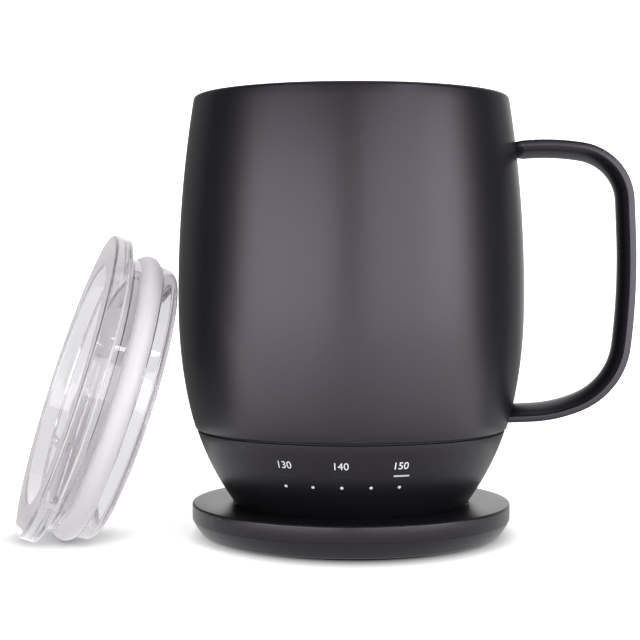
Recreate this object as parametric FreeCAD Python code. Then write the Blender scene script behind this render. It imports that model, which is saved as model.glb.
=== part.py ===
import FreeCAD, Part
import math
import os

# Self-heating mug on its charging coaster, with the clear lid leaning beside it.
# Millimetres. The origin is the centre of the coaster's underside, +Z is up,
# +X points to the handle and -Y to the row of lights on the mug's front.
# Heights called "level" are measured from the table.

# Mug wall, seen from the side: three arcs that run into each other.
# Heights of the wall are measured from the underside of the mug's foot.
belly_radius = 45.0
belly_height = 54.3
upper_sweep = 320.0
middle_sweep = 122.7
lower_sweep = 69.7
middle_top = 50.6
lower_top = 28.2
mug_height = 106.05
seam_height = 20.0
seam_gap = 0.6
rim_round = 1.2
shell_wall = 0.9
air_gap = 1.3
liner_wall = 0.9
lip_width = 1.0
mouth_step = 2.98
mouth_depth = 15.0
shoulder_drop = 15.0
mouth_round = 0.8
cup_corner = 10.0

# Handle: its outer line is straight legs joined by bends.
handle_width = 12.0
handle_depth = 4.5
handle_side = 1.5
top_arm_out = 6.9
top_arm_drop = 11.07
top_arm_bend = 63.0
top_corner_out = 27.0
top_corner_drop = 14.3
top_corner_bend = 16.15
back_out = 28.5
back_below_middle = 1.15
back_bend = 180.0
low_corner_out = 25.45
low_corner_rise = 9.95
low_corner_bend = 21.0
low_arm_out = 8.43
low_arm_rise = 2.7
low_arm_bend = 38.3
least_leg = 0.2
root_in = 12.0
top_root_drop = 1.6
low_root_rise = 1.6

# Base of the mug
base_setback = 0.2
base_wall = 2.2
base_lift = 0.5
spigot_height = 4.0
spigot_wall = 1.8
spigot_clearance = 0.3
cover_inset = 2.0
cover_clearance = 0.1
cover_thickness = 2.2
ledge_width = 3.0
ledge_thickness = 1.5
boss_radius = 2.2
screw_count = 4
screw_start_angle = 45.0
screw_inset = 2.4
screw_radius = 0.9
screw_tip_gap = 0.9
screw_head_radius = 1.5
screw_head_height = 0.9
screw_clearance = 0.05
foot_width = 3.4
foot_thickness = 1.0
foot_edge = 0.6
seal_section = 0.8
button_radius = 5.0
button_travel = 0.6
button_clearance = 0.15
button_flange = 1.2
button_recess = 0.2
switch_side = 6.0
switch_height = 1.5
plunger_radius = 1.4
plunger_entry = 0.2
inner_ring_radius = 9.2
outer_ring_radius = 13.4
ring_width = 1.6
ring_thickness = 0.6
post_radius = 0.7
part_clearance = 0.1
cut_past = 1.0

# Electronics and heater inside the base
board_thickness = 1.2
board_clearance = 0.5
chip_room = 2.0
chip_height = 0.9
charger_side = 7.0
driver_length = 6.0
driver_width = 5.0
driver_offset = 11.0
coil_radius = 3.0
coil_offset = 12.0
cell_radius = 7.0
cell_length = 43.0
cell_spacing = 0.6
cradle_floor = 1.0
cradle_wall = 1.5
leg_radius = 1.8
insulation_thickness = 2.2
insulation_edge = 9.0
heater_thickness = 0.8
heater_edge = 2.0
sensor_radius = 1.5
sensor_height = 2.4
lead_radius = 0.6
lead_spacing = 8.0
lead_inset = 4.0
light_board_thickness = 0.8
light_board_low = 8.0
light_board_high = 16.6
light_board_angle = 62.0
led_height = 1.2
led_radius = 0.8

# Lights on the front: a row of dots, and above every second dot a bar under a mark
front_angle = -90.0
lights_angle = 0.3
dot_count = 5
dot_angle_step = 11.35
dot_height = 9.2
dot_radius = 0.5
bar_count = 3
bar_height = 12.0
bar_width = 4.1
bar_rise = 0.6
lens_clearance = 0.05

# Charging coaster
coaster_height = 8.6
coaster_band = 4.1
coaster_margin = 11.27
coaster_undercut = 2.7
undercut_bulge = 0.2
coaster_wall = 1.8
coaster_skin = 1.4
coaster_edge = 0.5
coaster_lift = 0.3
parting_gap = 0.1
seat_depth = 0.8
seat_margin = 1.2
pad_thickness = 1.0
pad_inset = 2.6
coaster_screw_count = 3
coaster_screw_angle = 30.0
coaster_screw_inset = 9.0
coaster_boss_radius = 2.8
coaster_board_thickness = 0.8
coaster_board_rise = 0.4
coaster_board_radius = 17.0
coaster_board_tab = 20.0
coaster_board_setback = 1.2
coaster_leg_count = 4
coaster_leg_angle = 45.0
coaster_chip_side = 4.0
capacitor_length = 2.5
capacitor_width = 2.0
capacitor_offset = 7.0
inlet_width = 8.9
inlet_height = 3.2
inlet_depth = 7.3
inlet_skin = 0.35
inlet_setback = 0.5
inlet_clearance = 0.2
tongue_width = 6.6
tongue_thickness = 0.7
tongue_depth = 4.6
pin_radius = 0.9
pin_tip = 0.5
pin_clearance = 0.06
pin_hole_clearance = 0.24
pin_gap = 0.1
pin_travel = 0.6
barrel_radius = 1.6
barrel_floor = 0.5
spring_wall = 0.2

# Lid, measured down from its top face. Its radii follow the mug's mouth.
flange_overlap = 2.5
flange_thickness = 4.7
flange_round = 0.8
flange_foot_round = 0.7
neck_clearance = 2.0
neck_length = 3.5
gasket_groove = 1.4
gasket_length = 5.4
gasket_edge = 1.5
gasket_bulge = 1.6
plug_clearance = 1.6
plug_taper = 0.3
plug_foot_round = 2.4
plug_length = 4.8
plug_wall = 3.1
pool_wall = 1.5
pool_depth = 7.0
pool_floor = 2.2
lid_turn_angle = 18.6
lid_azimuth_angle = 187.6
lid_clearance = 1.3
rail_length = 39.0
rail_margin = 1.44
rail_width = 1.4
rail_lip = 0.9
slider_length = 30.0
slider_width = 13.0
slider_plate = 1.6
slider_clearance = 0.2
slider_float = 0.05
slider_end = 0.6
tab_width = 2.4
tab_height = 3.2
spout_length = 11.0
spout_width = 5.0
spout_inset = 6.0
vent_radius = 1.2
vent_inset = 7.5

UP = FreeCAD.Vector(0, 0, 1)
ORIGIN = FreeCAD.Vector(0, 0, 0)

# Levels that follow from the sizes above
foot_level = coaster_height - seat_depth
rim_level = foot_level + mug_height
seam_level = foot_level + seam_height
seat_level = foot_level
cover_level = foot_level + base_lift
ledge_level = cover_level + cover_thickness
flange_level = ledge_level + part_clearance
flange_top = flange_level + button_flange
switch_level = flange_top + 2 * button_travel
boss_top = switch_level + switch_height
board_top = boss_top + board_thickness
cradle_level = board_top + chip_room
cell_level = cradle_level + cradle_floor + cell_radius
insulation_level = cell_level + cell_radius + part_clearance
heater_level = insulation_level + insulation_thickness
liner_bottom = heater_level + heater_thickness
cup_floor = liner_bottom + liner_wall


def half_angle(start, corner, end):
    """Half of the angle between the two legs that meet at a corner."""
    first = FreeCAD.Vector(*start, 0) - FreeCAD.Vector(*corner, 0)
    second = FreeCAD.Vector(*end, 0) - FreeCAD.Vector(*corner, 0)
    return first.getAngle(second) / 2


def corner_arc(start, corner, end, reach):
    """A bend that begins this far from the corner: where it leaves, its middle, where it
    meets the next leg, and its centre."""
    half = half_angle(start, corner, end)
    radius = reach * math.tan(half)
    at = FreeCAD.Vector(*corner, 0)
    first = (FreeCAD.Vector(*start, 0) - at).normalize()
    second = (FreeCAD.Vector(*end, 0) - at).normalize()
    middle = (first + second).normalize()
    centre = at + middle * (radius / math.sin(half))
    points = (at + first * reach, centre - middle * radius, at + second * reach, centre)
    return [(point.x, point.y) for point in points]


def upright(point):
    """A point of an outline (distance from the axis, level) on the XZ plane."""
    return FreeCAD.Vector(point[0], 0, point[1])


def bowed(start, end, bulge):
    """An arc step of an outline, whose middle stands out to the right of the way there."""
    run = math.dist(start, end)
    middle_r = (start[0] + end[0]) / 2 + (end[1] - start[1]) / run * bulge
    middle_z = (start[1] + end[1]) / 2 - (end[0] - start[0]) / run * bulge
    return (middle_r, middle_z, *end)


def turned(outline):
    """A turned piece. Each entry is a corner (r, z), a rounded corner (r, z, radius),
    or an arc to a point (r_middle, z_middle, r_end, z_end)."""
    edges = []
    here = outline[0]
    for index in range(1, len(outline) + 1):
        step = outline[index % len(outline)]
        if len(step) == 4:
            end = step[2:]
            edges.append(Part.Arc(upright(here), upright(step[:2]), upright(end)).toShape())
            here = end
            continue
        if len(step) == 3:
            after = outline[(index + 1) % len(outline)][:2]
            reach = step[2] / math.tan(half_angle(here, step[:2], after))
            leave, middle, meet, _ = corner_arc(here, step[:2], after, reach)
            edges.append(Part.makeLine(upright(here), upright(leave)))
            edges.append(Part.Arc(upright(leave), upright(middle), upright(meet)).toShape())
            here = meet
            continue
        if math.dist(here, step) > 1e-6:
            edges.append(Part.makeLine(upright(here), upright(step)))
        here = step
    return Part.Face(Part.Wire(edges)).revolve(ORIGIN, UP, 360)


def disc(radius, low, high, x=0, y=0):
    """An upright round bar between two levels."""
    return Part.makeCylinder(radius, high - low, FreeCAD.Vector(x, y, low), UP)


def ring(inner, outer, low, high):
    """A flat ring between two levels."""
    return disc(outer, low, high).cut(disc(inner, low - cut_past, high + cut_past))


def block(x_size, y_size, low, high, x=0, y=0):
    """An upright box centred on a point of the plan."""
    corner = FreeCAD.Vector(x - x_size / 2, y - y_size / 2, low)
    return Part.makeBox(x_size, y_size, high - low, corner)


def around(radius, count, start):
    """Points evenly spaced on a circle, starting at an angle in degrees."""
    points = []
    for index in range(count):
        angle = math.radians(start + index * 360 / count)
        points.append((radius * math.cos(angle), radius * math.sin(angle)))
    return points


def joined(first, *others):
    """Pieces fused into one solid, with no leftover seams."""
    shape = first
    for other in others:
        shape = shape.fuse(other)
    return shape.removeSplitter()


def save(shape, name):
    """Write one node's solid or group of solids."""
    if not shape.isValid():
        raise ValueError(name + " is not a valid solid")
    shape.exportStep("parts/" + name + ".step")


def wall_arcs():
    """The wall's three arcs, as (centre distance, centre height, radius, lowest angle)."""
    upper = (belly_radius - upper_sweep, belly_height)
    join = math.asin((middle_top - belly_height) / upper_sweep)
    step = upper_sweep - middle_sweep
    middle = (upper[0] + step * math.cos(join), upper[1] + step * math.sin(join))
    low_join = math.asin((lower_top - middle[1]) / middle_sweep)
    step = middle_sweep - lower_sweep
    lower = (middle[0] + step * math.cos(low_join), middle[1] + step * math.sin(low_join))
    return (
        (*upper, upper_sweep, join),
        (*middle, middle_sweep, low_join),
        (*lower, lower_sweep, -math.pi / 2),
    )


def wall_joins(inset):
    """Levels at which one arc of the wall passes into the next, top to bottom."""
    levels = []
    for _, height, radius, angle in wall_arcs()[:2]:
        levels.append(foot_level + height + (radius - inset) * math.sin(angle))
    return levels


def wall_radius(level, inset=0.0):
    """Distance from the axis to the mug's wall, or to a surface this far inside it."""
    joins = wall_joins(inset)
    index = sum(level < join for join in joins)
    centre, height, radius, _ = wall_arcs()[index]
    rise = level - foot_level - height
    return centre + math.sqrt((radius - inset) ** 2 - rise ** 2)


def wall_slope(level):
    """Angle of the wall's outward normal below the horizontal, in degrees."""
    index = sum(level < join for join in wall_joins(0.0))
    _, height, radius, _ = wall_arcs()[index]
    return math.degrees(math.asin((foot_level + height - level) / radius))


def wall_run(start, end, inset=0.0):
    """Arc steps along the wall from one level to another, up or down."""
    between = [level for level in wall_joins(inset) if min(start, end) < level < max(start, end)]
    stops = sorted([start, end] + between, reverse=end < start)
    steps = []
    for first, last in zip(stops, stops[1:]):
        half = (first + last) / 2
        steps.append((wall_radius(half, inset), half, wall_radius(last, inset), last))
    return steps


def wall_body(low, high, inset=0.0):
    """Everything inside the wall between two levels."""
    return turned([
        (0, low),
        (wall_radius(low, inset), low),
        *wall_run(low, high, inset),
        (0, high),
    ])


# Radii that follow from the wall: the mouth, and the lid that fits it
mouth_radius = wall_radius(rim_level - rim_round) - mouth_step
flange_radius = mouth_radius + flange_overlap
neck_radius = mouth_radius - neck_clearance
plug_radius = mouth_radius - plug_clearance
plug_foot_radius = plug_radius - plug_taper
gasket_seat_radius = plug_radius - gasket_groove
gasket_edge_radius = gasket_seat_radius + gasket_edge
hollow_radius = plug_foot_radius - plug_wall
pool_radius = hollow_radius - pool_wall


def mug_shell():
    """Outer steel skin, turned in at the rim to meet the liner."""
    low = seam_level + seam_gap / 2
    shoulder = rim_level - rim_round
    rim_radius = wall_radius(shoulder)
    slant = rim_round * (1 - math.sqrt(0.5))
    lip_radius = mouth_radius + lip_width
    lip_under = rim_level - lip_width
    return turned([
        (wall_radius(low, shell_wall), low),
        (wall_radius(low), low),
        *wall_run(low, shoulder),
        (rim_radius - slant, rim_level - slant, rim_radius - rim_round, rim_level),
        (lip_radius, rim_level),
        (lip_radius, lip_under),
        (wall_radius(lip_under, shell_wall), lip_under),
        *wall_run(lip_under, low, shell_wall),
    ])


def mug_liner():
    """Inner steel cup: upright mouth, shoulder, belly and a rounded floor."""
    outside = shell_wall + air_gap
    inside = outside + liner_wall
    mouth_low = rim_level - mouth_depth
    belly_top = mouth_low - shoulder_drop
    corner_top = cup_floor + cup_corner
    outer_corner = cup_corner + liner_wall
    outer_radius = wall_radius(corner_top, outside)
    inner_radius = wall_radius(corner_top, inside)
    slant = math.sqrt(0.5)
    return turned([
        (0, liner_bottom),
        (outer_radius - outer_corner, liner_bottom),
        (outer_radius - outer_corner * (1 - slant), liner_bottom + outer_corner * (1 - slant),
         outer_radius, corner_top),
        *wall_run(corner_top, belly_top, outside),
        (mouth_radius + lip_width, mouth_low),
        (mouth_radius + lip_width, rim_level),
        (mouth_radius, rim_level, mouth_round),
        (mouth_radius, mouth_low),
        (wall_radius(belly_top, inside), belly_top),
        *wall_run(belly_top, corner_top, inside),
        (inner_radius - cup_corner * (1 - slant), cup_floor + cup_corner * (1 - slant),
         inner_radius - cup_corner, cup_floor),
        (0, cup_floor),
    ])


def handle_legs():
    """Corners of the handle's outer line, from inside the wall at the top to inside it below."""
    top = rim_level - top_arm_drop
    low = seam_level + low_arm_rise
    middle = (top + seam_level) / 2 - back_below_middle
    return [
        (belly_radius - root_in, top - top_root_drop),
        (belly_radius + top_arm_out, top, top_arm_bend),
        (belly_radius + top_corner_out, rim_level - top_corner_drop, top_corner_bend),
        (belly_radius + back_out, middle, back_bend),
        (belly_radius + low_corner_out, seam_level + low_corner_rise, low_corner_bend),
        (belly_radius + low_arm_out, low, low_arm_bend),
        (belly_radius - root_in, seam_level + low_root_rise),
    ]


def bend_reaches(legs):
    """How far from its corner each bend begins, shortened where two bends would meet."""
    reaches = [0.0]
    for before, corner, after in zip(legs, legs[1:], legs[2:]):
        reaches.append(corner[2] / math.tan(half_angle(before[:2], corner[:2], after[:2])))
    reaches.append(0.0)
    for index, (first, last) in enumerate(zip(legs, legs[1:])):
        room = math.dist(first[:2], last[:2]) - least_leg
        share = min(1.0, room / (reaches[index] + reaches[index + 1]))
        reaches[index] *= share
        reaches[index + 1] *= share
    return reaches[1:-1]


def handle_section(point, along):
    """Cross-section of the handle: flat outside, narrow flat sides and a rounded inside."""
    start = upright(point)
    inward = FreeCAD.Vector(along.z, 0, -along.x)
    side = FreeCAD.Vector(0, handle_width / 2, 0)
    near_edge = start - side + inward * handle_side
    far_edge = start + side + inward * handle_side
    return Part.Face(Part.Wire([
        Part.makeLine(start - side, near_edge),
        Part.Arc(near_edge, start + inward * handle_depth, far_edge).toShape(),
        Part.makeLine(far_edge, start + side),
        Part.makeLine(start + side, start - side),
    ]))


def handle():
    """Slim loop of straight legs and bends, trimmed to the wall at both ends."""
    legs = handle_legs()
    here = legs[0]
    stretches = []
    for corner, after, reach in zip(legs[1:], legs[2:], bend_reaches(legs)):
        leave, _, meet, centre = corner_arc(here, corner[:2], after[:2], reach)
        run = upright(leave) - upright(here)
        along = FreeCAD.Vector(run).normalize()
        onward = (upright(after) - upright(corner)).normalize()
        turn = math.degrees(along.getAngle(onward))
        stretches.append(handle_section(here, along).extrude(run))
        bend = handle_section(leave, along)
        stretches.append(bend.revolve(upright(centre), FreeCAD.Vector(0, 1, 0), turn))
        here = meet
    run = upright(legs[-1]) - upright(here)
    stretches.append(handle_section(here, FreeCAD.Vector(run).normalize()).extrude(run))
    return joined(*stretches).cut(wall_body(foot_level, rim_level))


def seam_ring():
    """Thin silicone ring in the groove between the shell and the base."""
    outer = wall_radius(seam_level) - seam_gap / 2
    inner = wall_radius(seam_level, shell_wall) - spigot_clearance
    return ring(inner, outer, seam_level - seam_gap / 2, seam_level + seam_gap / 2)


def cover_radius():
    return wall_radius(cover_level) - cover_inset


def cover_screw_places():
    return around(cover_radius() - screw_inset, screw_count, screw_start_angle)


def contact_post_places():
    return ((0, inner_ring_radius), (0, outer_ring_radius))


def dot_angles():
    """Angles of the row of dots about the mug's front, in degrees."""
    start = front_angle + lights_angle - (dot_count - 1) / 2 * dot_angle_step
    return [start + index * dot_angle_step for index in range(dot_count)]


def bar_angles():
    """The bars stand above dots, evenly spread from the first dot to the last."""
    return dot_angles()[::(dot_count - 1) // (bar_count - 1)]


def wall_rod(angle, level, radius, depth):
    """A round rod through the wall, square to its slope."""
    slope = wall_slope(level)
    start = FreeCAD.Vector(-depth, 0, 0)
    rod = Part.makeCylinder(radius, depth + cut_past, start, FreeCAD.Vector(1, 0, 0))
    rod.rotate(ORIGIN, FreeCAD.Vector(0, 1, 0), slope)
    rod.translate(FreeCAD.Vector(wall_radius(level), 0, level))
    rod.rotate(ORIGIN, UP, angle)
    return rod


def wall_slot(angle, level, width, rise, depth):
    """A flat bar through the wall, square to its slope."""
    start = FreeCAD.Vector(-depth, -width / 2, -rise / 2)
    bar = Part.makeBox(depth + cut_past, width, rise, start)
    bar.rotate(ORIGIN, FreeCAD.Vector(0, 1, 0), wall_slope(level))
    bar.translate(FreeCAD.Vector(wall_radius(level), 0, level))
    bar.rotate(ORIGIN, UP, angle)
    return bar


def dot_level():
    return foot_level + dot_height


def bar_level():
    return foot_level + bar_height


def lens_length():
    """From the outer face to the lights behind the wall."""
    return base_setback + base_wall + part_clearance


def base_skin():
    """The outer form of the base, used to trim the lenses flush."""
    return wall_body(cover_level, seam_level, base_setback)


def base_housing():
    """Coated plastic base: wall, spigot into the shell, ledge and screw bosses."""
    top = seam_level - seam_gap / 2
    inside = base_setback + base_wall
    spigot_outer = wall_radius(seam_level, shell_wall) - spigot_clearance
    spigot_inner = spigot_outer - spigot_wall
    ledge_radius = cover_radius() - ledge_width
    ledge_top = ledge_level + ledge_thickness
    shell = turned([
        (cover_radius() + cover_clearance, cover_level),
        (wall_radius(cover_level, base_setback), cover_level),
        *wall_run(cover_level, top, base_setback),
        (spigot_outer, top),
        (spigot_outer, seam_level + spigot_height),
        (spigot_inner, seam_level + spigot_height),
        (wall_radius(top - base_wall, inside), top - base_wall),
        *wall_run(top - base_wall, ledge_top, inside),
        (ledge_radius, ledge_top),
        (ledge_radius, ledge_level),
        (cover_radius() + cover_clearance, ledge_level),
    ])
    for x, y in cover_screw_places():
        shell = shell.fuse(disc(boss_radius, ledge_level, boss_top, x, y))
    for x, y in cover_screw_places():
        hole = disc(screw_radius + screw_clearance, ledge_level - cut_past, boss_top + cut_past, x, y)
        shell = shell.cut(hole)
    depth = lens_length() + cut_past
    for angle in dot_angles():
        shell = shell.cut(wall_rod(angle, dot_level(), dot_radius + lens_clearance, depth))
    for angle in bar_angles():
        slot = wall_slot(angle, bar_level(), bar_width + 2 * lens_clearance,
                         bar_rise + 2 * lens_clearance, depth)
        shell = shell.cut(slot)
    return shell.removeSplitter()


def dot_lenses():
    """Five round light guides, flush with the base."""
    skin = base_skin()
    lenses = []
    for angle in dot_angles():
        lenses.append(wall_rod(angle, dot_level(), dot_radius, lens_length()).common(skin))
    return lenses


def bar_lenses():
    """Flat light guides, flush with the base."""
    skin = base_skin()
    lenses = []
    for angle in bar_angles():
        bar = wall_slot(angle, bar_level(), bar_width, bar_rise, lens_length())
        lenses.append(bar.common(skin))
    return lenses


def leds():
    """One light behind each lens, standing on the light board."""
    back = lens_length() + led_height
    chips = []
    for level, angles in ((dot_level(), dot_angles()), (bar_level(), bar_angles())):
        for angle in angles:
            rod = wall_rod(angle, level, led_radius, back)
            front = wall_rod(angle, level, led_radius + cut_past, lens_length())
            chips.append(rod.cut(front))
    return chips


def light_board():
    """Curved board behind the front wall, following its slope."""
    near = lens_length() + led_height
    far = near + light_board_thickness
    low = foot_level + light_board_low
    high = foot_level + light_board_high
    band = turned([
        (wall_radius(low, far), low),
        (wall_radius(low, near), low),
        *wall_run(low, high, near),
        (wall_radius(high, far), high),
        *wall_run(high, low, far),
    ])
    reach = 2 * belly_radius
    wedge = Part.makeCylinder(reach, rim_level, ORIGIN, UP, light_board_angle)
    wedge.rotate(ORIGIN, UP, front_angle - light_board_angle / 2)
    return band.common(wedge)


def base_cover():
    """Screwed cover with the contact rings, the button hole and the groove for the foot."""
    outer = cover_radius()
    top = ledge_level
    cover = disc(outer, cover_level, top)
    groove_outer = outer - foot_edge + cover_clearance
    groove_inner = outer - foot_edge - foot_width - cover_clearance
    below = cover_level - cut_past
    above = top + cut_past
    cover = cover.cut(ring(groove_inner, groove_outer, below, foot_level + foot_thickness))
    seal_level = top - seal_section - part_clearance
    seal_inner = outer - seal_section - part_clearance
    cover = cover.cut(ring(seal_inner, outer + cut_past, seal_level, seal_level + seal_section))
    cover = cover.cut(disc(button_radius + button_clearance, below, above))
    for radius in (inner_ring_radius, outer_ring_radius):
        inner = radius - ring_width / 2
        cover = cover.cut(ring(inner, inner + ring_width, below, cover_level + ring_thickness))
    for x, y in contact_post_places():
        cover = cover.cut(disc(post_radius + part_clearance, cover_level, above, x, y))
    head_level = foot_level + foot_thickness
    for x, y in cover_screw_places():
        head_hole = disc(screw_head_radius + screw_clearance, below,
                         head_level + screw_head_height, x, y)
        shank_hole = disc(screw_radius + screw_clearance, cover_level, above, x, y)
        cover = cover.cut(head_hole).cut(shank_hole)
    return cover


def base_seal():
    """Square-section seal in the edge of the cover."""
    outer = cover_radius() + cover_clearance / 2
    level = ledge_level - seal_section - part_clearance
    return ring(outer - seal_section, outer, level, level + seal_section)


def base_foot():
    """Silicone ring that the mug stands on."""
    outer = cover_radius() - foot_edge
    return ring(outer - foot_width, outer, foot_level, foot_level + foot_thickness)


def base_screws():
    head_level = foot_level + foot_thickness
    seat = head_level + screw_head_height
    screws = []
    for x, y in cover_screw_places():
        head = disc(screw_head_radius, head_level, seat, x, y)
        shank = disc(screw_radius, seat, boss_top - screw_tip_gap, x, y)
        screws.append(joined(head, shank))
    return screws


def contact_ring(radius, place):
    """Gilt ring in the cover's face, with a post up to the board."""
    inner = radius - ring_width / 2
    face = ring(inner, inner + ring_width, cover_level, cover_level + ring_thickness)
    post = disc(post_radius, cover_level + ring_thickness / 2, boss_top, *place)
    return joined(face, post)


def button_cap():
    """Power button in the middle of the cover, held by a flange behind it."""
    cap = disc(button_radius, cover_level + button_recess, flange_top)
    return joined(cap, disc(button_radius + button_flange, flange_level, flange_top))


def switch_plunger():
    """Stem of the switch, resting on the button's back."""
    return disc(plunger_radius, flange_top, switch_level + plunger_entry)


def button_switch():
    """Square switch under the board, bored for its stem."""
    body = block(switch_side, switch_side, switch_level, boss_top)
    bore_top = switch_level + plunger_entry + button_travel + part_clearance
    bore = disc(plunger_radius + part_clearance / 2, switch_level - cut_past, bore_top)
    return body.cut(bore)


def board_radius():
    return wall_radius(boss_top, base_setback + base_wall) - board_clearance


def main_board():
    return disc(board_radius(), boss_top, board_top)


def board_components():
    """Charger, two drivers and a coil on the board, between the cradle's legs."""
    chip_top = board_top + chip_height
    coil_top = board_top + chip_room - part_clearance
    return [
        block(charger_side, charger_side, board_top, chip_top),
        block(driver_length, driver_width, board_top, chip_top, 0, -driver_offset),
        block(driver_width, driver_length, board_top, chip_top, driver_offset, 0),
        disc(coil_radius, board_top, coil_top, -coil_offset, 0),
    ]


def cell_count():
    """As many cells side by side as the base has room for."""
    room = wall_radius(cradle_level, base_setback + base_wall) - cradle_wall
    pitch = 2 * cell_radius + cell_spacing
    count = 1
    while math.hypot((count + 1) * pitch / 2 + cradle_wall, cell_length / 2 + cradle_wall) < room:
        count += 1
    return count


def cell_places():
    pitch = 2 * cell_radius + cell_spacing
    return [(index - (cell_count() - 1) / 2) * pitch for index in range(cell_count())]


def battery_cells():
    start = -cell_length / 2
    cells = []
    for y in cell_places():
        base = FreeCAD.Vector(start, y, cell_level)
        cells.append(Part.makeCylinder(cell_radius, cell_length, base, FreeCAD.Vector(1, 0, 0)))
    return cells


def battery_cradle():
    """Moulded tray with a trough for each cell, standing on the board."""
    pitch = 2 * cell_radius + cell_spacing
    length = cell_length + 2 * cradle_wall
    width = cell_count() * pitch + 2 * cradle_wall
    tray = block(length, width, cradle_level, cell_level)
    trough = cell_length + 2 * part_clearance
    for y in cell_places():
        base = FreeCAD.Vector(-trough / 2, y, cell_level)
        tray = tray.cut(Part.makeCylinder(cell_radius + part_clearance, trough, base,
                                          FreeCAD.Vector(1, 0, 0)))
    for x in (-1, 1):
        for y in (-1, 1):
            leg = disc(leg_radius, board_top, cradle_level + cradle_floor / 2,
                       x * (length / 2 - leg_radius), y * (width / 2 - leg_radius))
            tray = tray.fuse(leg)
    return tray.removeSplitter()


def insulation_radius():
    return wall_radius(insulation_level, shell_wall) - insulation_edge


def heater_radius():
    corner_top = cup_floor + cup_corner
    flat = wall_radius(corner_top, shell_wall + air_gap) - cup_corner - liner_wall
    return flat - heater_edge


def lead_places():
    y = board_radius() - lead_inset
    return ((-lead_spacing / 2, y), (lead_spacing / 2, y))


def insulation_disc():
    """Foam disc between the cells and the heater."""
    foam = disc(insulation_radius(), insulation_level, heater_level)
    below = insulation_level - cut_past
    above = heater_level + cut_past
    foam = foam.cut(disc(sensor_radius + part_clearance, below, above))
    for x, y in lead_places():
        hole = disc(lead_radius + part_clearance, below, above, x, y)
        foam = foam.cut(hole)
    return foam


def heater_film():
    """Heating film under the cup's floor, open in the middle for the sensor."""
    return ring(sensor_radius + part_clearance, heater_radius(), heater_level, liner_bottom)


def temperature_sensor():
    return disc(sensor_radius, liner_bottom - sensor_height, liner_bottom)


def heater_leads():
    return [disc(lead_radius, board_top, heater_level, x, y) for x, y in lead_places()]


def coaster_radius():
    return wall_radius(cover_level, base_setback) + coaster_margin


def seat_radius():
    return wall_radius(cover_level, base_setback) + seat_margin


def coaster_floor():
    """Level of the bottom cover's inside."""
    return coaster_lift + coaster_skin


def coaster_screw_places():
    return around(coaster_radius() - coaster_screw_inset, coaster_screw_count, coaster_screw_angle)


def coaster_split():
    return coaster_height - coaster_band


def pin_places():
    return ((-inner_ring_radius, 0), (outer_ring_radius, 0))


def coaster_board_level():
    return coaster_floor() + coaster_board_rise


def coaster_board_top():
    return coaster_board_level() + coaster_board_thickness


def inlet_mouth():
    """How far back the inlet's mouth stands, just inside the rim."""
    edge = math.sqrt(coaster_radius() ** 2 - (inlet_width / 2) ** 2)
    return edge - inlet_setback


def inlet_body(grow, depth):
    """The inlet's rounded bar, reaching forward from its mouth."""
    height = inlet_height + 2 * grow
    width = inlet_width + 2 * grow
    middle = coaster_board_top() + inlet_height / 2
    round_radius = height / 2
    side = width / 2 - round_radius
    start = inlet_mouth() - depth
    back = FreeCAD.Vector(0, 1, 0)
    bar = Part.makeBox(2 * side, depth, height, FreeCAD.Vector(-side, start, middle - round_radius))
    for x in (-side, side):
        end = Part.makeCylinder(round_radius, depth, FreeCAD.Vector(x, start, middle), back)
        bar = bar.fuse(end)
    return bar.removeSplitter()


def inlet_hole():
    """Opening in the coaster's rim for the inlet, open to the back."""
    hole = inlet_body(inlet_clearance, inlet_depth + cut_past)
    further = hole.copy()
    further.translate(FreeCAD.Vector(0, inlet_depth, 0))
    return hole.fuse(further)


def coaster_top():
    """Top tray with the round seat for the mug and the pin holes."""
    outer = coaster_radius()
    inner = outer - coaster_wall
    seat = seat_radius()
    under = coaster_height - coaster_skin
    seat_under = seat_level - coaster_skin
    tray = turned([
        (0, seat_under),
        (seat + coaster_skin, seat_under),
        (seat + coaster_skin, under),
        (inner, under),
        (inner, coaster_split()),
        (outer, coaster_split()),
        (outer, coaster_height, coaster_edge),
        (seat, coaster_height),
        (seat, seat_level),
        (0, seat_level),
    ])
    boss_low = coaster_floor() + coaster_skin
    for x, y in coaster_screw_places():
        tray = tray.fuse(disc(coaster_boss_radius, boss_low, under + coaster_skin / 2, x, y))
    for x, y in coaster_screw_places():
        hole = disc(screw_radius + screw_clearance, boss_low - cut_past, seat_under, x, y)
        tray = tray.cut(hole)
    for x, y in pin_places():
        hole = disc(pin_radius + pin_hole_clearance, seat_under - cut_past, coaster_height, x, y)
        tray = tray.cut(hole)
    return tray.cut(inlet_hole()).removeSplitter()


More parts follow.
